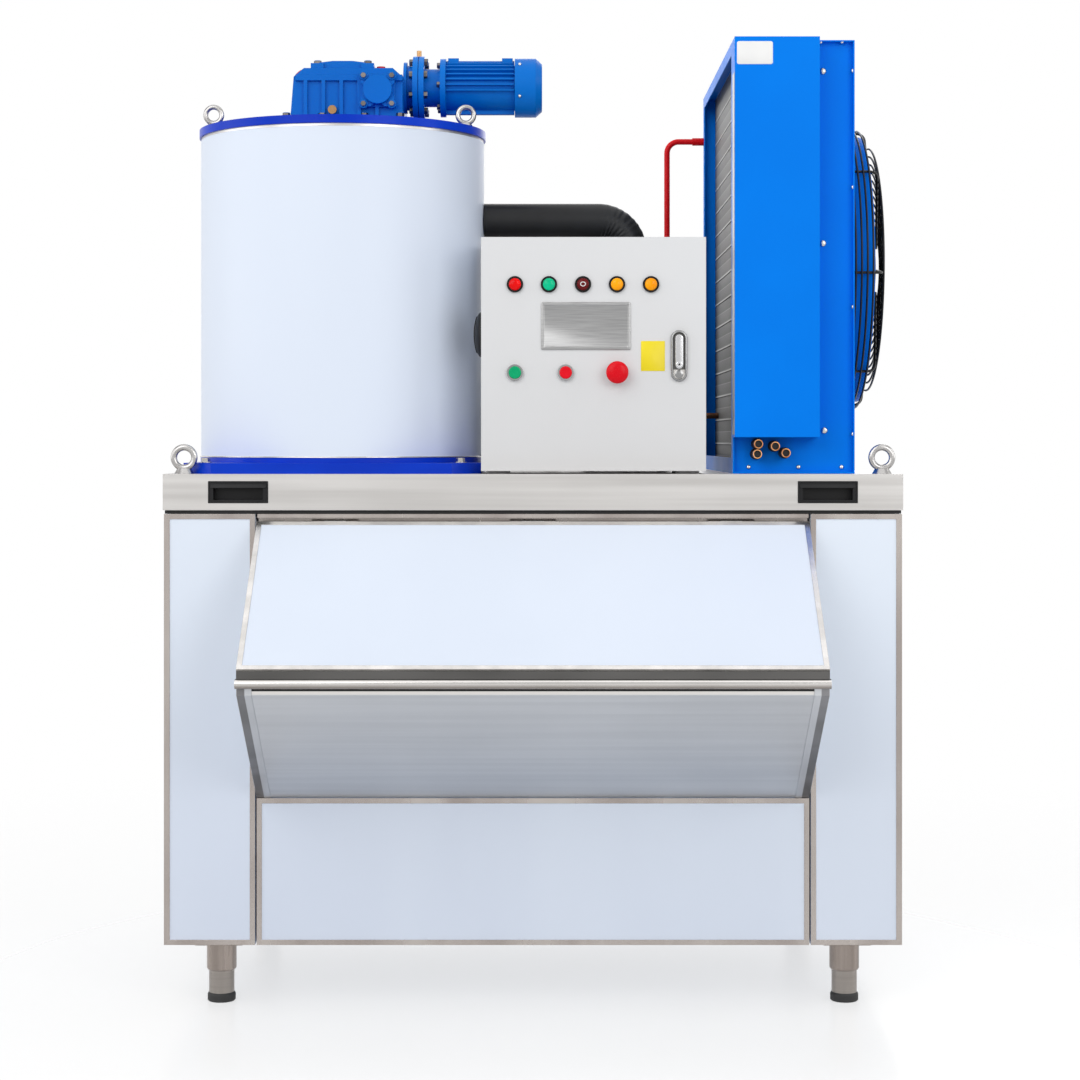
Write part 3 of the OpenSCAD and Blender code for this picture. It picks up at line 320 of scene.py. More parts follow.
# rings on the door: black round the lamps, bright metal round the buttons below
def bezelMix(coords):
    low = step(axis(coords, "Z"), *mixSet["buttons"])
    return layered(coords, "gloss", (low, "chromeRing"))


# lid's grip: round rail, bright steel above and painted shade below, with a dark flat strip over it
def railMix(coords):
    height = axis(coords, "Z")
    # painted shade on the rail's lower half
    shade = step(height, *mixSet["railShade"])
    strip = step(height, *mixSet["railStrip"])
    return layered(coords, "bright", (shade, "railShade"), (strip, "strip"))


# underside of the hopper: streaks across, a black painted shadow in the gap and a pale painted highlight
# along the nose
def hopperMix(coords):
    height = axis(coords, "Z")
    streak = noise(coords, 22.0, (0.06, 3.0, 3.0), 5.0)
    tone = step(streak * 0.6 + noise(coords, 3.0) * 0.4, 0.3, 0.7)
    sheet = blend(tone, rgb(0.49, 0.505, 0.53), rgb(0.57, 0.585, 0.61))
    # painted shadow: black where the gap between rail and nose lies in shade
    gapShadow = step(height, *mixSet["noseGapShadow"])
    # painted highlight: a pale line along the rim of the nose
    noseHighlight = step(height, *mixSet["noseLineHighlight"]) * (1.0 - gapShadow)
    return {
        "Base Color": blend(gapShadow, blend(noseHighlight, sheet, rgb(0.7, 0.68, 0.66)), rgb(0.03, 0.03, 0.03)),
        "Metallic": 1.0,
        "Roughness": 0.32 + 0.16 * streak,
        "Normal": relief(coords, streak, 0.12, 0.0004, 0.0008),
    }


# frame of the latch: bright rim, dark sunk floor
def latchMix(coords):
    near, far = (float(place((0.0, y, 0.0))[1]) for y in mixSet["latchFloor"])
    depth = step(axis(coords, "Y"), near, far)
    low = step(axis(coords, "Z"), *mixSet["latchRest"])
    return layered(coords, "chromeRing", (depth, "strip"), (depth * low, "bright"))


# distance from an upright line through a spot in drawing millimetres
def reachFrom(coords, spot):
    middle = place((*spot, 0.0))
    away = coords.add("ShaderNodeVectorMath", {"operation": "MULTIPLY_ADD"},
                      {0: coords, 1: (1.0, 1.0, 0.0), 2: (-middle[0], -middle[1], 0.0)})
    return away.add("ShaderNodeVectorMath", {"operation": "LENGTH"}, {0: away}, "Value")


# drum's base: blue, with the bolts in its corners of plated steel
def baseMix(coords):
    high = step(axis(coords, "Z"), *mixSet["baseTop"])
    far = step(reachFrom(coords, drumMiddle), *mixSet["baseReach"])
    return layered(coords, "deepBlue", (high * far, "plated"))


# plugs of the reducer: red above, brass at the drain low on the front
def plugMix(coords):
    low = step(axis(coords, "Z"), *mixSet["drainPlug"])
    return layered(coords, "redCap", (low, "brass"))


# flange of the drive: blue, with a brass nipple on its top
def flangeMix(coords):
    high = step(axis(coords, "Z"), *mixSet["nipple"])
    return layered(coords, "castBlue", (high, "brass"))


# cheeks of the hopper: painted shade as a dark band along each edge, the rest as the underside between them
def cheekMix(coords):
    side = axis(coords, "X") + float(rowShift[0]) / 1000.0
    away = side.maths("ABSOLUTE", side)
    # painted shade: a dark band along each cheek's edge
    shadedBand = step(away, *mixSet["cheekInner"]) * (1.0 - step(away, *mixSet["cheekOuter"]))
    return layered(coords, "hopper", (shadedBand, "edge"))


# foot: rubber pad below a height, turned steel above it
def footMix(coords):
    up = step(axis(coords, "Z"), *mixSet["footPad"])
    turn = noise(coords, 30.0, (0.2, 0.2, 12.0))
    return {
        "Base Color": blend(up * (0.7 + 0.3 * turn), rgb(0.02, 0.02, 0.02), rgb(0.33, 0.3, 0.275)),
        "Metallic": up,
        "Roughness": 0.62 - 0.36 * up + 0.1 * turn,
        "Normal": relief(coords, turn, 0.2, 0.0005, 0.001),
    }


# copper: bright with darker stains
def copperTube(name, fresh, stained):
    def build(coords):
        stain = step(noise(coords, 60.0), 0.4, 0.7)
        return {
            "Base Color": blend(stain, rgb(*fresh), rgb(*stained)),
            "Metallic": 1.0,
            "Roughness": 0.25 + 0.25 * stain,
            "Normal": relief(coords, stain, 0.1, 0.0004, 0.0005),
        }
    return makeMaterial(name, build)


mats = {
    "white": whiteSheet("white", (0.655, 0.715, 0.835), (0.8, 0.87, 0.97)),
    "lidSheet": whiteSheet("lidSheet", (0.62, 0.68, 0.78), (0.685, 0.745, 0.845)),
    "jacket": whiteSheet("jacket", (0.67, 0.73, 0.84), (0.735, 0.8, 0.91)),
    "steelX": brushed("steelX", (0.6, 0.585, 0.57), (0.5, 0.485, 0.47), 0.34, (0.06, 3.0, 3.0)),
    "hopper": makeMaterial("hopper", hopperMix),
    "cheek": makeMaterial("cheek", cheekMix),
    "steelZ": brushed("steelZ", (0.36, 0.31, 0.28), (0.2, 0.17, 0.15), 0.26, (3.0, 3.0, 0.06)),
    "trim": brushed("trim", (0.5, 0.46, 0.43), (0.34, 0.3, 0.28), 0.26, (0.5, 0.5, 0.1)),
    "bright": brushed("bright", (0.68, 0.66, 0.64), (0.5, 0.485, 0.47), 0.2, (1.0, 1.0, 1.0)),
    "eyeSteel": brushed("eyeSteel", (0.5, 0.49, 0.48), (0.34, 0.33, 0.325), 0.24, (1.0, 1.0, 1.0)),
    "chrome": brushed("chrome", (0.7, 0.7, 0.71), (0.6, 0.6, 0.62), 0.14, (1.0, 1.0, 1.0)),
    "blue": paint("blue", (0.0, 0.22, 0.88), (0.0, 0.19, 0.8), 0.4, gloss=0.05),
    "castBlue": paint("castBlue", (0.0, 0.17, 0.63), (0.0, 0.13, 0.53), 0.36, 0.35, 0.0022),
    "deepBlue": paint("deepBlue", (0.0, 0.045, 0.58), (0.0, 0.03, 0.46), 0.3),
    "flange": makeMaterial("flange", flangeMix),
    "powder": makeMaterial("powderCoat", powderCoat),
    "rubber": plastic("rubber", (0.02, 0.02, 0.021), (0.012, 0.012, 0.012), 0.55, gloss=0.25),
    "black": plastic("black", (0.014, 0.014, 0.015), (0.008, 0.008, 0.009), 0.34, gloss=0.22),
    "wire": plastic("wire", (0.012, 0.012, 0.013), (0.007, 0.007, 0.007), 0.25, gloss=0.25),
    "foam": plastic("foam", (0.014, 0.015, 0.017), (0.007, 0.007, 0.008), 0.42, 300.0, 0.4, 0.0008, 0.25),
    "red": plastic("red", (0.78, 0.004, 0.015), (0.68, 0.002, 0.01), 0.26, gloss=0.16),
    "green": plastic("green", (0.0, 0.42, 0.17), (0.0, 0.36, 0.14), 0.26, gloss=0.16),
    "redPipe": plastic("redPipe", (0.8, 0.006, 0.014), (0.68, 0.003, 0.008), 0.28, gloss=0.16),
    "fins": makeMaterial("fins", finPack),
    "copper": copperTube("copper", (0.9, 0.45, 0.2), (0.5, 0.2, 0.08)),
    "agedCopper": copperTube("agedCopper", (0.22, 0.1, 0.055), (0.1, 0.05, 0.03)),
    "foot": makeMaterial("foot", footMix),
    "bezels": makeMaterial("bezels", bezelMix),
    "rail": makeMaterial("rail", railMix),
    "base": makeMaterial("base", baseMix),
    "plugs": makeMaterial("plugs", plugMix),
    "latchFrame": makeMaterial("latchFrame", latchMix),
    "latchGrip": brushed("latchGrip", (0.6, 0.6, 0.61), (0.48, 0.48, 0.49), 0.24, (3.0, 3.0, 0.1)),
    "bolt": brushed("bolt", (0.22, 0.2, 0.19), (0.1, 0.09, 0.085), 0.3, (1.0, 1.0, 1.0)),
    "lensRed": lens("lensRed", (0.85, 0.0, 0.0), (0.6, 0.0, 0.0), 0.12),
    "lensGreen": lens("lensGreen", (0.0, 0.55, 0.28), (0.0, 0.42, 0.2), 0.12),
    # the buzzer is no lamp: its faint glow is painted light
    "lensDark": lens("lensDark", (0.16, 0.004, 0.006), (0.09, 0.002, 0.003), 0.02),
    "lensAmber": lens("lensAmber", (1.0, 0.4, 0.004), (0.85, 0.28, 0.0), 0.12),
    "plateMetal": brushed("plateMetal", (0.38, 0.38, 0.38), (0.28, 0.28, 0.28), 0.36, (0.8, 8.0, 24.0)),
    "yellow": plastic("yellow", (0.88, 0.72, 0.0), (0.8, 0.64, 0.0), 0.4),
    "paper": plastic("paper", (0.86, 0.86, 0.85), (0.78, 0.78, 0.78), 0.45),
}

cadLooks = {
    "white": "bin_floor bin_side_panels bin_back_panel front_side_panels front_lower_panel",
    "lidSheet": "bin_lid",
    "jacket": "drum_jacket",
    "trim": "bin_trims lid_hinge_rail",
    "steelX": "top_cap evaporator_wall bearing_spider scraper_shaft ice_scraper component_plate",
    "hopper": "hopper_underside",
    "cheek": "hopper_cheeks",
    "rail": "lid_grip_rail",
    "bezels": "panel_bezels",
    "base": "drum_base_frame",
    "plugs": "reducer_plugs",
    "flange": "input_flange",
    "bright": "lid_frame",
    "eyeSteel": "eye_bolts",
    "steelZ": "leg_tubes",
    "rubber": "cap_gasket",
    "black": "pull_cups main_switch_knob compressor liquid_receiver fan_motor fan_rotor",
    "foot": "foot_front_left foot_front_right foot_back_left foot_back_right",
    "deepBlue": "drum_top_plate",
    "powder": "water_distributor cabinet_shell cabinet_door",
    "castBlue": "reducer_housing reducer_top_cover reducer_end_cover motor_body motor_fan_cowl",
    "red": "stop_button estop_button",
    "lensRed": "lamp_lenses",
    "green": "start_button",
    "chrome": "latch_plate latch_handle",
    "blue": "condenser_casing condenser_cover fan_shroud",
    "fins": "condenser_coil",
    "copper": "coil_stubs",
    "agedCopper": "liquid_line",
    "wire": "fan_guard",
    "foam": "suction_pipe",
    "redPipe": "discharge_pipe",
}
for look, names in cadLooks.items():
    for name in names.split():
        mesh = nodes[name].data
        mesh.materials.clear()
        mesh.materials.append(mats[look])
print("materials", len(mats))


# quads between closed loops of points, with a cap over the first and the last loop
def loftFaces(rows, cols, first):
    row, col = np.meshgrid(np.arange(rows - 1), np.arange(cols), indexing="ij")
    after = (col + 1) % cols
    here = row * cols
    above = here + cols
    quads = np.stack([here + col, here + after, above + after, above + col], -1)
    faces = (quads.reshape(-1, 4) + first).tolist()
    faces.append(list(range(first + cols - 1, first - 1, -1)))
    faces.append(list(range(first + (rows - 1) * cols, first + rows * cols)))
    return faces


# six times the volume inside a stack of loops, below zero where the loops turn the other way
def stackTurn(stack):
    inner = stack - stack.mean(axis=(0, 1))
    a = inner[:-1]
    b = np.roll(a, -1, axis=1)
    c = np.roll(inner[1:], -1, axis=1)
    d = inner[1:]
    return (a * np.cross(b, c)).sum() + (a * np.cross(c, d)).sum()


# a piece of one or more lofts, each an array of loops in drawing millimetres
def addLofts(name, stacks, look, body, replaced=(), sharp=40.0):
    points = []
    faces = []
    count = 0
    for stack in stacks:
        if stackTurn(stack) < 0.0:
            stack = stack[:, ::-1]
        faces += loftFaces(stack.shape[0], stack.shape[1], count)
        points.append(place(stack.reshape(-1, 3)))
        count += stack.shape[0] * stack.shape[1]
    mesh = bpy.data.meshes.new(name)
    mesh.from_pydata(np.vstack(points), [], faces)
    mesh.shade_smooth()
    mesh.set_sharp_from_angle(angle=math.radians(sharp))
    mesh.materials.append(mats[look])
    piece = bpy.data.objects.new(name, mesh)
    bpy.context.scene.collection.objects.link(piece)
    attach(piece, body)
    if replaced:
        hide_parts(*replaced)


# loops of a turned shape: pairs of distance along the axis and radius
def turned(centre, way, profile, sides=48, first=0.0):
    turn = first + np.linspace(0.0, 2.0 * np.pi, sides, endpoint=False)
    axes = {"x": (1, 2, 0), "y": (2, 0, 1), "z": (0, 1, 2)}[way]
    stack = np.zeros((len(profile), sides, 3))
    for index, (along, radius) in enumerate(profile):
        stack[index, :, axes[0]] = radius * np.cos(turn)
        stack[index, :, axes[1]] = radius * np.sin(turn)
        stack[index, :, axes[2]] = along
    return stack + np.asarray(centre, float)


# loop of a rectangle with round corners in the plane of x and z
def roundLoop(low, high, corner, y, perCorner=6):
    mid = (np.array(low) + np.array(high)) / 2.0
    half = (np.array(high) - np.array(low)) / 2.0 - corner
    turn = np.linspace(0.0, np.pi / 2.0, perCorner)
    angles = np.concatenate([turn + k * np.pi / 2.0 for k in range(4)])
    signs = np.repeat(np.array([[1, 1], [-1, 1], [-1, -1], [1, -1]]), perCorner, axis=0)
    flat = mid + signs * half + corner * np.stack([np.cos(angles), np.sin(angles)], -1)
    return np.stack([flat[:, 0], np.full(len(flat), y), flat[:, 1]], -1)


# points along straight stretches with a round bend at each corner; the second array is 1 inside bends
def bentPath(corners, bend, spacing):
    corners = np.asarray(corners, float)
    ways = np.diff(corners, axis=0)
    ways /= np.linalg.norm(ways, axis=1)[:, None]
    points = [corners[:1]]
    bends = [np.zeros(1)]
    start = corners[0]
    for index in range(1, len(corners) - 1):
        before, after = ways[index - 1], ways[index]
        angle = math.acos(np.clip(before @ after, -1.0, 1.0))
        cut = bend * math.tan(angle / 2.0)
        enter = corners[index] - before * cut
        side = after - before * (before @ after)
        side /= np.linalg.norm(side)
        count = max(2, int(np.linalg.norm(enter - start) / spacing))
        points.append(start + (enter - start) * np.linspace(0.0, 1.0, count + 1)[1:, None])
        bends.append(np.zeros(count))
        turn = np.linspace(0.0, angle, max(8, int(bend * angle / spacing)) + 1)[1:, None]
        points.append(enter + bend * (np.sin(turn) * before + (1.0 - np.cos(turn)) * side))
        bends.append(np.sin(np.pi * turn[:, 0] / angle))
        start = points[-1][-1]
    count = max(2, int(np.linalg.norm(corners[-1] - start) / spacing))
    points.append(start + (corners[-1] - start) * np.linspace(0.0, 1.0, count + 1)[1:, None])
    bends.append(np.zeros(count))
    return np.vstack(points), np.concatenate(bends)


# rings round a path, turned along it without twist, and their unit spokes; a radius for each point
# or for each point and side
def tube(path, radii, sides):
    ways = np.gradient(path, axis=0)
    ways /= np.linalg.norm(ways, axis=1)[:, None]
    normal = np.cross(ways[0], [0.3, 0.5, 0.8])
    normals = []
    for way in ways:
        normal = normal - way * (normal @ way)
        normal /= np.linalg.norm(normal)
        normals.append(normal)
    normals = np.array(normals)
    sideways = np.cross(ways, normals)
    turn = np.linspace(0.0, 2.0 * np.pi, sides, endpoint=False)
    spokes = normals[:, None] * np.cos(turn)[None, :, None]
    spokes = spokes + sideways[:, None] * np.sin(turn)[None, :, None]
    radii = np.broadcast_to(np.asarray(radii, float).reshape(len(path), -1), (len(path), sides))
    return path[:, None] + spokes * radii[:, :, None], spokes


# insulated suction pipe: soft tube, with folds where it is squeezed on the inside of its bends
suctionSet = {
    "corners": [(-91.6, 280, 1414), (182, 280, 1414), (182, 280, 1200), (182, 346, 1200)],
    "radius": 32.4, "bend": 58.0, "spacing": 1.5, "sides": 56,
    "foldDepth": 1.6, "foldPitch": 9.0, "foldOutside": 0.25,
}


def addSuction(values):
    sides = values["sides"]
    path, bends = bentPath(values["corners"], values["bend"], values["spacing"])
    along = np.concatenate([[0.0], np.cumsum(np.linalg.norm(np.diff(path, axis=0), axis=1))])
    spokes = tube(path, np.full(len(path), 1.0), sides)[1]
    curl = np.gradient(np.gradient(path, axis=0), axis=0)
    inside = (spokes * curl[:, None]).sum(axis=2)
    inside = np.clip(inside / max(inside.max(), 1e-6), 0.0, 1.0)
    phase = along / values["foldPitch"] * 2.0 * np.pi
    fold = np.sin(phase + 0.7 * np.sin(0.37 * phase))[:, None]
    share = values["foldOutside"] + (1.0 - values["foldOutside"]) * inside
    radii = values["radius"] + values["foldDepth"] * bends[:, None] * (fold - 1.0) * share
    rings = tube(path, radii, sides)[0]
    addLofts("suctionSleeve", [rings], "foam", "machine", ["suction_pipe"], 60.0)


# lamps: domed lenses in their rings, the middle one a buzzer with a pale ring
lampSet = {
    "first": -32.0, "pitch": 60.3, "z": 1278.0, "radius": 10.8, "root": 2.0, "neck": 5.0, "rise": 5.0,
    "looks": ["lensRed", "lensGreen", "lensDark", "lensAmber", "lensAmber"],
    "buzzer": 2, "ringHalf": (4.3, 3.6), "ringOut": 9.6, "ringWire": 0.75, "ringPoints": 48,
}


def addLamps(values):
    radius = values["radius"]
    neck = -values["neck"]
    turn = np.linspace(0.0, np.pi / 2.0 - 0.06, 10)[1:]
    dome = [(values["root"], radius), (neck, radius)]
    dome += [(neck - values["rise"] * math.sin(t), radius * math.cos(t)) for t in turn]
    for index, look in enumerate(values["looks"]):
        centre = (values["first"] + index * values["pitch"], doorFace, values["z"])
        stack = turned(centre, "y", dome)
        addLofts("lamp" + str(index), [stack], look, "door", ["lamp_lenses"])
    count = values["ringPoints"]
    ring = np.linspace(0.0, 2.0 * np.pi, count, endpoint=False)
    wide, tall = values["ringHalf"]
    x = values["first"] + values["buzzer"] * values["pitch"] + wide * np.cos(ring)
    y = np.full(count, doorFace - values["ringOut"])
    circle = np.stack([x, y, values["z"] + tall * np.sin(ring)], -1)
    closed = np.vstack([circle, circle[:1]])
    rings = tube(closed, np.full(count + 1, values["ringWire"]), 10)[0]
    addLofts("buzzerRing", [rings], "paper", "door")


# push buttons and the mushroom head, with soft round edges: pairs of distance from the door and radius
buttonSet = {
    "start": -32.0, "stop": 58.0, "estop": 149.0, "z": 1121.5,
    "cap": [(19.0, 11.1), (-6.4, 11.1), (-7.3, 10.8), (-7.8, 10.2), (-8.0, 9.4), (-7.5, 6.0), (-7.2, 1.0)],
    "head": [(20.0, 7.9), (-12.0, 7.9), (-12.4, 16.5), (-13.4, 18.8), (-15.0, 19.8), (-18.0, 19.9)],
    "crown": 7.8, "crownPower": 0.7, "tip": (-25.9, 1.0),
}


def addButtons(values):
    for name, look, slot in (("start", "green", "green_plastic"), ("stop", "red", "red_plastic")):
        centre = (values[name], doorFace, values["z"])
        addLofts(name + "Cap", [turned(centre, "y", values["cap"])], look, name, [name + "_button"])
    turn = np.linspace(0.0, np.pi / 2.0, 8)[1:-1]
    out, radius = values["head"][-1]
    power = values["crownPower"]
    crown = [(out - values["crown"] * math.sin(t), radius * math.cos(t) ** power) for t in turn]
    head = values["head"] + crown + [values["tip"]]
    centre = (values["estop"], doorFace, values["z"])
    addLofts("estopHead", [turned(centre, "y", head)], "red", "estop", ["estop_button"])


# thin plates on faces that look to the front: a bare metal plate with a rim and two blank stickers
plateSet = {
    "namePlate": ((14.2, 1161.5), (173.7, 1246.6), 3.0, doorFace, 1.6, "plateMetal", "door", "plated_steel"),
    "yellowPatch": ((191.4, 1124.3), (234.0, 1177.5), 1.5, doorFace, 0.4, "yellow", "door", "pale_grey"),
    "whitePatch": ((361.7, 1668.6), (425.5, 1709.4), 4.0, 21.0, 0.4, "paper", "machine", "blue"),
}
plateRim = {"plate": "namePlate", "wide": 5.0, "deep": 0.6}


def addPlates(values, rim):
    for name, (low, high, corner, y, thick, look, body, slot) in values.items():
        inset = thick * 0.4
        low = np.array(low)
        high = np.array(high)
        front = y - thick
        steps = [(0.0, y + 0.5), (0.0, y - thick * 0.7), (inset, front)]
        if name == rim["plate"]:
            steps += [(rim["wide"], front), (rim["wide"] + rim["deep"], front + rim["deep"])]
        loops = [roundLoop(low + inward, high - inward, corner, at) for inward, at in steps]
        addLofts(name, [np.array(loops)], look, body)


# pan head screws on the condenser and the motor's cowl, each list on faces that look one way
screwSet = {
    "panel": [(520.4, 1664.0), (520.4, 1355.0), (523.0, 1019.0)],
    "foot": [(387.0, 953.5), (476.5, 953.5), (553.8, 953.5)],
    "side": [1663.7, 1455.0, 1240.7, 1012.8],
    "roof": [515.4, 553.6],
    "cowl": [(-24.6, 241.0, 1702.8), (-24.6, 229.6, 1642.2)],
    "panelY": 73.0, "sideX": 573.5, "roofZ": 1715.5, "lipY": 67.0,
    "big": (6.2, 4.2), "small": (4.2, 3.4), "cowlSize": (3.2, 3.2),
}


# half a flattened ball: rise by the sine, radius by a power of the cosine
def panHead(radius, rise):
    dome = [(-rise * math.sin(t), radius * math.cos(t) ** 0.6) for t in np.linspace(0.0, 1.4, 6)]
    return [(0.5, radius)] + dome


def addScrews(values):
    big = panHead(*values["big"])
    small = panHead(*values["small"])
    cowl = panHead(*values["cowlSize"])
    stacks = [turned((x, values["panelY"], z), "y", big, 24) for x, z in values["panel"]]
    stacks += [turned((x, values["panelY"], z), "y", small, 20) for x, z in values["foot"]]
    stacks += [turned((values["sideX"], values["lipY"], z), "x", small, 20) for z in values["side"]]
    stacks += [turned((x, values["lipY"], values["roofZ"]), "z", small, 20) for x in values["roof"]]
    stacks += [turned(spot, "y", cowl, 20) for spot in values["cowl"]]
    addLofts("panScrews", stacks, "bright", "machine")


# dark six-sided bolts of the drive, laid over the solid ones: feet, top cover, end cover and both
# flanges; a size is a radius and a rise, a ring is x, rise, ring radius, radius, count, first angle
boltSet = {
    "feet": [-455.0, -389.0, -311.0, -245.0], "feetY": 193.0, "feetZ": 1597.2, "feetSize": (7.2, 8.8),
    "cover": [(-399.0, 213.0), (-306.0, 213.0), (-399.0, 347.0), (-306.0, 347.0)],
    "coverZ": 1698.2, "coverSize": (7.2, 6.8),
    "end": [(-312.0, 1621.0), (-260.0, 1621.0), (-312.0, 1673.0), (-260.0, 1673.0)],
    "endY": 178.8, "endSize": (5.7, -4.8),
    "rings": [
        (-204.3, 8.0, 49.0, 7.2, 8, 22.5),
        (-223.7, -8.0, 49.0, 6.2, 8, 22.5),
        (-172.7, -7.0, 45.0, 5.7, 6, 30.0),
    ],
    "axisY": 280.0, "axisZ": 1664.0,
}


def hexBolt(centre, way, radius, rise, first=0.0):
    bevel = 0.16 * radius * np.sign(rise)
    top = rise + 0.2 * np.sign(rise)
    profile = [(0.0, radius), (top - bevel, radius), (top, radius * 0.84)]
    return turned(centre, way, profile, 6, first)


def addBolts(values):
    quarter = np.pi / 2.0
    feet = [(x, values["feetY"], values["feetZ"]) for x in values["feet"]]
    stacks = [hexBolt(spot, "z", *values["feetSize"]) for spot in feet]
    stacks += [hexBolt((x, y, values["coverZ"]), "z", *values["coverSize"]) for x, y in values["cover"]]
    stacks += [hexBolt((x, values["endY"], z), "y", *values["endSize"], quarter) for x, z in values["end"]]
    for x, rise, ring, radius, count, first in values["rings"]:
        for angle in np.radians(first + np.arange(count) * 360.0 / count):
            spot = (x, values["axisY"] - ring * math.sin(angle), values["axisZ"] + ring * math.cos(angle))
            stacks.append(hexBolt(spot, "x", radius, rise, angle + quarter))
    addLofts("darkBolts", stacks, "bolt", "machine", sharp=20.0)


# thin steel bead round the foot of the drum's jacket
beadSet = {"z": 971.2, "ring": 265.4, "radius": 1.6, "points": 161}


def addBead(values):
    turn = np.linspace(0.0, 2.0 * np.pi, values["points"])
    ring = values["ring"]
    circle = np.stack([ring * np.cos(turn), ring * np.sin(turn), 0.0 * turn], -1)
    circle = circle + np.array([*drumMiddle, values["z"]])
    rings = tube(circle, np.full(len(circle), values["radius"]), 10)[0]
    addLofts("jacketBead", [rings], "bright", "machine")


# a straight block between two corners as a loft of two loops
def blockLoft(low, high):
    (x0, y0, z0), (x1, y1, z1) = low, high
    flat = np.array([(x0, y0), (x1, y0), (x1, y1), (x0, y1)])
    return np.stack([np.column_stack([flat, np.full(4, z)]) for z in (z0, z1)])


# bare end plate of the coil, seen as a pale strip along the cover's side
endPlateSet = {"low": (357.2, 23.0, 1012.0), "high": (358.2, 60.0, 1655.0)}


def addEndPlate(values):
    addLofts("coilEndPlate", [blockLoft(values["low"], values["high"])], "plateMetal", "machine")


# pull cups: a thin frame, a shallow ledge and a deep recess, with a flap that leans in under its top edge
cupSet = {
    "x": 520.0, "z": 910.0, "half": (53.0, 19.5), "corner": 1.2,
    "front": -5.0, "ledge": -3.4, "back": 22.0, "sheet": 1.5,
    "frame": 2.6, "wall": (9.0, 5.4), "flap": 9.0,
}


def addCups(values):
    half = np.array(values["half"])
    wall = np.array(values["wall"])
    outer = wall - values["sheet"]
    none = np.zeros(2)
    lip = none + values["frame"]
    front = values["front"]
    ledge = values["ledge"]
    back = values["back"]
    steps = [
        (outer, back + 2.0), (outer, ledge + 0.3), (none, ledge + 0.3), (none, front + 0.5),
        (none + 0.5, front), (lip, front), (lip + 0.3, ledge), (wall, ledge), (wall, back),
    ]
    for side, name in ((-1.0, "pullCupLeft"), (1.0, "pullCupRight")):
        middle = np.array([side * values["x"], values["z"]])
        low = middle - half
        high = middle + half
        cup = [roundLoop(low + inset, high - inset, values["corner"], y) for inset, y in steps]
        top = high[1] - values["frame"] - 0.4
        foot = top - values["flap"]
        lean = [(front + 2.2, top), (front + 0.4, foot), (front + 2.4, foot - 0.8), (front + 4.2, top)]
        reach = half[0] - values["frame"] - 1.0
        ends = (middle[0] - reach, middle[0] + reach)
        flap = np.stack([np.column_stack([np.full(4, x), np.array(lean)]) for x in ends])
        addLofts(name, [np.array(cup), flap], "black", "machine", ["pull_cups"], 30.0)


# black strip along the front under the cap: a rubber seal, and painted shade in the gap under the cap
sealAndShadeSet = {"low": (-650.0, 1.5, 872.2), "high": (650.0, 14.0, 877.6)}


def addSealAndShade(values):
    addLofts("capSealShade", [blockLoft(values["low"], values["high"])], "rubber", "machine")


# black sleeves round the copper stubs, and dark discs inside the stubs as painted shade in their open ends
stubSet = {
    "spots": [(401.0, 995.0), (399.0, 977.0), (431.0, 991.0), (450.0, 979.0)],
    "sleeve": (48.0, 72.9, 10.0), "pipe": 7.0, "mouthShade": 33.0, "bore": 6.45,
}


def addStubs(values):
    low, high, radius = values["sleeve"]
    sleeve = [(high, radius), (low + 1.0, radius), (low, radius - 0.8), (low, values["pipe"])]
    deep = values["mouthShade"]
    bore = values["bore"]
    # a dark disc deep in each stub: painted shade in the open pipe end
    mouthShade = [(deep + 2.0, bore), (deep, bore), (deep, 0.4)]
    stacks = []
    for x, z in values["spots"]:
        stacks += [turned((x, 0.0, z), "y", profile, 28) for profile in (sleeve, mouthShade)]
    addLofts("stubSleeves", stacks, "foam", "machine")


# latch: oval frame with a sunk floor and a thumb rest, and a round-ended grip with a lock in its lower
# end; frame and back are pairs of inset and distance from the door, rest, ring and key have radii
latchSet = {
    "x": 259.0, "z": 1151.0, "half": (14.5, 45.5), "grip": (7.4, 1127.6, 1189.4),
    "frame": [(0.0, 0.4), (0.0, -3.6), (0.7, -5.2), (2.0, -5.9), (3.6, -5.7), (4.6, -4.6), (4.9, -3.0)],
    "rest": [(7.6, -2.8), (7.4, -3.4), (6.0, -3.9), (2.0, -4.1)], "restUp": 13.0,
    "back": [(0.6, -3.4), (0.0, -4.2), (0.0, -7.0), (0.9, -8.2), (2.4, -8.5)],
    "lockY": -8.4, "lockZ": 1135.6,
    "ring": [(0.3, 5.6), (-0.6, 5.4), (-0.9, 4.9), (-0.9, 4.3), (-0.5, 4.1), (-0.5, 0.5)],
    "key": [(-0.3, 2.9), (-1.4, 2.7), (-1.4, 0.4)],
}


# loops of a shape with round ends, drawn in by each inset
def ovalLoops(low, high, end, steps):
    return np.array([roundLoop(low + inset, high - inset, end - inset - 0.1, doorFace + y, 10)
                     for inset, y in steps])


def addLatch(values):
    middle = np.array([values["x"], values["z"]])
    half = np.array(values["half"])
    loops = ovalLoops(middle - half, middle + half, half[0], values["frame"])
    thumb = middle + np.array([0.0, values["restUp"] - half[1]])
    rest = [roundLoop(thumb - r, thumb + r, r - 0.05, doorFace + y, 10) for r, y in values["rest"]]
    stacks = [loops, np.array(rest)]
    addLofts("latchFrame", stacks, "latchFrame", "door", ["latch_plate"])
    wide, low, high = values["grip"]
    ends = np.array([(middle[0] - wide, low), (middle[0] + wide, high)])
    grip = ovalLoops(ends[0], ends[1], wide, values["back"])
    addLofts("latchGrip", [grip], "latchGrip", "latch", ["latch_handle"])
    centre = (middle[0], doorFace + values["lockY"], values["lockZ"])
    addLofts("lockRing", [turned(centre, "y", values["ring"], 36)], "chrome", "latch")
    addLofts("lockKey", [turned(centre, "y", values["key"], 3)], "black", "latch")


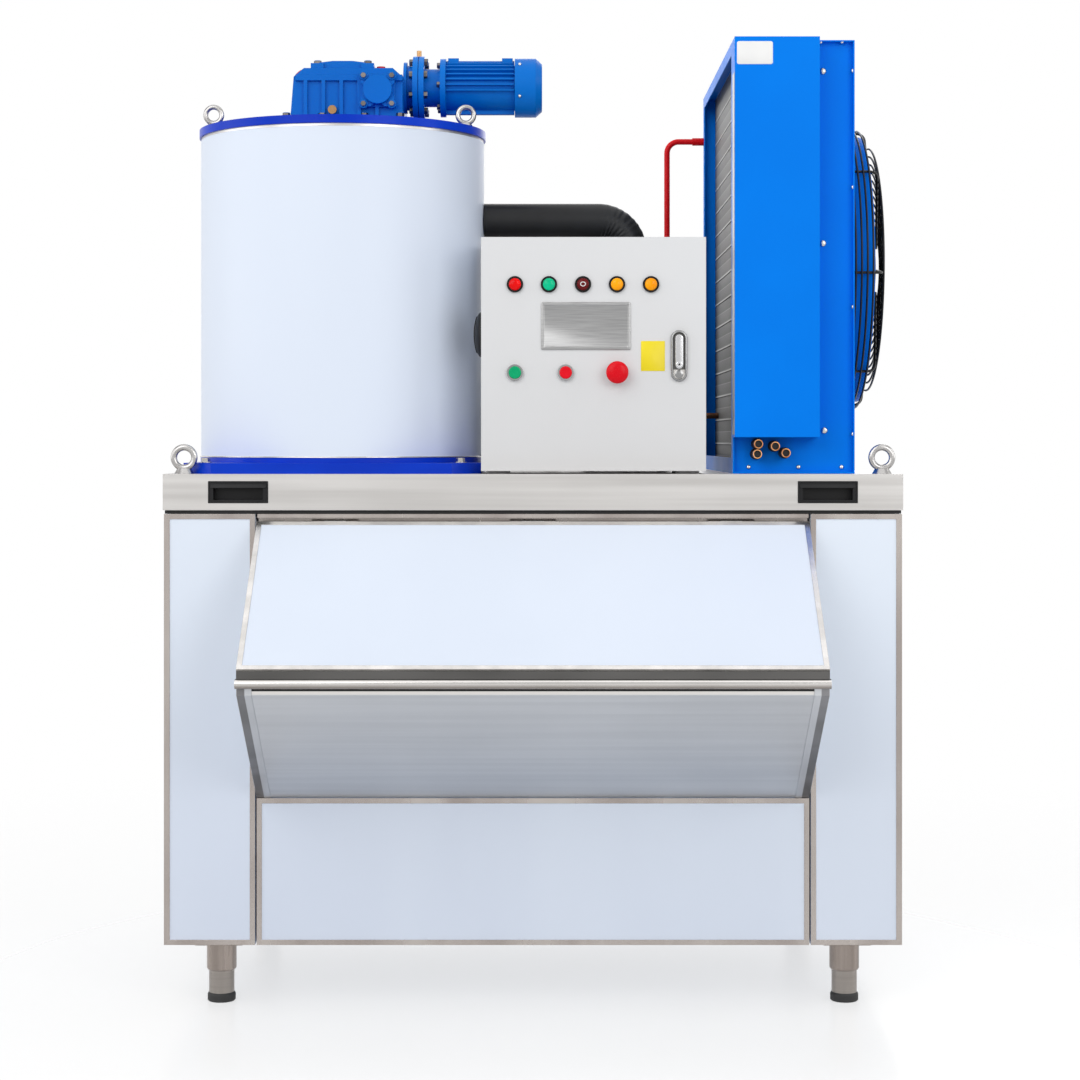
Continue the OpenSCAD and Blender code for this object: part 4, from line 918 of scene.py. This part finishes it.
# main switch: an elliptic dome on the cabinet's side with a ridge across it that follows the dome
knobSet = {
    "x": -92.5, "y": 100.0, "z": 1192.0, "radius": 41.0, "rise": 13.0, "edge": 1.0,
    "ridge": (5.0, 33.0, 1.6), "pin": [(0.0, 5.0), (12.0, 5.0)],
}


def addKnob(values):
    radius = values["radius"]
    edge = values["edge"]
    turn = np.linspace(0.0, 1.54, 12)[1:]
    dome = [(0.0, radius - edge), (-edge, radius)]
    dome += [(-edge - (values["rise"] - edge) * math.sin(t), radius * math.cos(t)) for t in turn]
    centre = np.array([values["x"], values["y"], values["z"]])
    wide, tall, proud = values["ridge"]
    along = np.linspace(-tall, tall, 21)
    top = -proud - values["rise"] * np.sqrt(1.0 - (along / radius) ** 2)
    root = np.full(len(along), -2.0)
    corners = ((root, -wide), (root, wide), (top, wide), (top, -wide))
    lines = [np.stack([out, np.full(len(along), y), along], -1) for out, y in corners]
    ridge = np.stack(lines, 1) + centre
    stacks = [turned(centre, "x", dome), ridge, turned(centre, "x", values["pin"], 24)]
    addLofts("switchKnob", stacks, "black", "switch_knob", ["main_switch_knob"])


addSuction(suctionSet)
addLamps(lampSet)
addButtons(buttonSet)
addPlates(plateSet, plateRim)
addScrews(screwSet)
addBolts(boltSet)
addBead(beadSet)
addEndPlate(endPlateSet)
addCups(cupSet)
addSealAndShade(sealAndShadeSet)
addStubs(stubSet)
addLatch(latchSet)
addKnob(knobSet)
print("pieces")


# stage: a pale floor with a weak gloss, soft lights, white all round
stageSet = {"floorHalf": 6.0, "ambient": 0.48, "lamps": {
    "keyLight": ((-2.6, -4.2, 3.6), (0.0, 0.0, 0.9), 4.0, 112.0),
    "fillLight": ((2.6, -4.2, 2.7), (0.0, 0.0, 1.0), 2.6, 62.0),
    "leftLight": ((-5.0, -0.6, 2.4), (-0.3, 0.0, 1.0), 3.5, 60.0),
    "rightLight": ((5.0, -0.4, 2.4), (0.3, 0.0, 1.0), 3.5, 66.0),
    "backLight": ((0.6, 4.6, 3.0), (0.0, 0.0, 0.9), 3.5, 55.0),
    "topLight": ((0.0, -0.6, 4.8), (0.0, -0.2, 0.0), 5.0, 40.0),
}}


# the floor thins out away from the part, so that it ends in the white behind it
def floorLook(coords):
    drift = noise(coords, 1.5)
    reach = coords.add("ShaderNodeVectorMath", {"operation": "LENGTH"}, {0: coords}, "Value")
    return {
        "Base Color": blend(drift, rgb(0.93, 0.93, 0.93), rgb(0.96, 0.96, 0.96)),
        "Roughness": 0.2 + 0.04 * drift,
        "Specular IOR Level": 0.7,
        "Alpha": 0.4 * (1.0 - step(reach, 0.7, 3.0)),
    }


def addLight(name, spot, aim, size, power):
    data = bpy.data.lights.new(name, "AREA")
    data.size = size
    data.energy = power
    lamp = bpy.data.objects.new(name, data)
    bpy.context.scene.collection.objects.link(lamp)
    way = np.array(aim, float) - np.array(spot, float)
    flat = math.hypot(way[0], way[1])
    lamp.location = spot
    lamp.rotation_euler = (math.atan2(flat, -way[2]), 0.0, math.atan2(way[1], way[0]) - math.pi / 2)


def addStage(values):
    half = values["floorHalf"]
    mesh = bpy.data.meshes.new("floor")
    corners = [(-half, -half, 0.0), (half, -half, 0.0), (half, half, 0.0), (-half, half, 0.0)]
    mesh.from_pydata(corners, [], [(0, 1, 2, 3)])
    mesh.materials.append(makeMaterial("floorLook", floorLook))
    floor = bpy.data.objects.new("floor", mesh)
    bpy.context.scene.collection.objects.link(floor)
    for name, (spot, aim, size, power) in values["lamps"].items():
        addLight(name, spot, aim, size, power)


# the background is white to the eye and to mirrors, and dimmer as a light; mirrors also see a grey
# belt above the horizon, which gives round metal its dark lines
beltSet = {"low": (0.25, 0.4), "high": (0.7, 0.85), "depth": 0.5}


def addWorld(values, belt):
    world = bpy.data.worlds.new("white")
    bpy.context.scene.world = world
    world.use_nodes = True
    tree = world.node_tree
    path = tree.nodes.new("ShaderNodeLightPath")
    camera = Wire(tree, path.outputs["Is Camera Ray"])
    glossy = Wire(tree, path.outputs["Is Glossy Ray"])
    clear = Wire(tree, path.outputs["Is Transmission Ray"])
    way = axis(Wire(tree, tree.nodes.new("ShaderNodeTexCoord").outputs["Generated"]), "Z")
    grey = step(way, *belt["low"]) * (1.0 - step(way, *belt["high"])) * belt["depth"]
    mirror = glossy * (1.0 - grey)
    seen = camera.maths("MAXIMUM", camera, mirror.maths("MAXIMUM", mirror, clear))
    strength = values["ambient"] + (1.0 - values["ambient"]) * seen
    tree.links.new(strength.socket, tree.nodes["Background"].inputs["Strength"])
    tree.nodes["Background"].inputs["Color"].default_value = (1.0, 1.0, 1.0, 1.0)


# level camera on the bin's middle; the shift keeps the upright edges upright
cameraSet = {"spot": (-0.0058, -4.495, 1.002), "lens": 79.5, "shift": (0.0065, -0.0926)}


def addCamera(values):
    data = bpy.data.cameras.new("camera")
    data.sensor_width = 36.0
    data.lens = values["lens"]
    data.shift_x = values["shift"][0]
    data.shift_y = values["shift"][1]
    camera = bpy.data.objects.new("camera", data)
    bpy.context.scene.collection.objects.link(camera)
    camera.location = values["spot"]
    camera.rotation_euler = (math.pi / 2, 0.0, 0.0)
    bpy.context.scene.camera = camera


addStage(stageSet)
addWorld(stageSet, beltSet)
addCamera(cameraSet)
bpy.context.scene.view_settings.view_transform = "Standard"
print("stage")
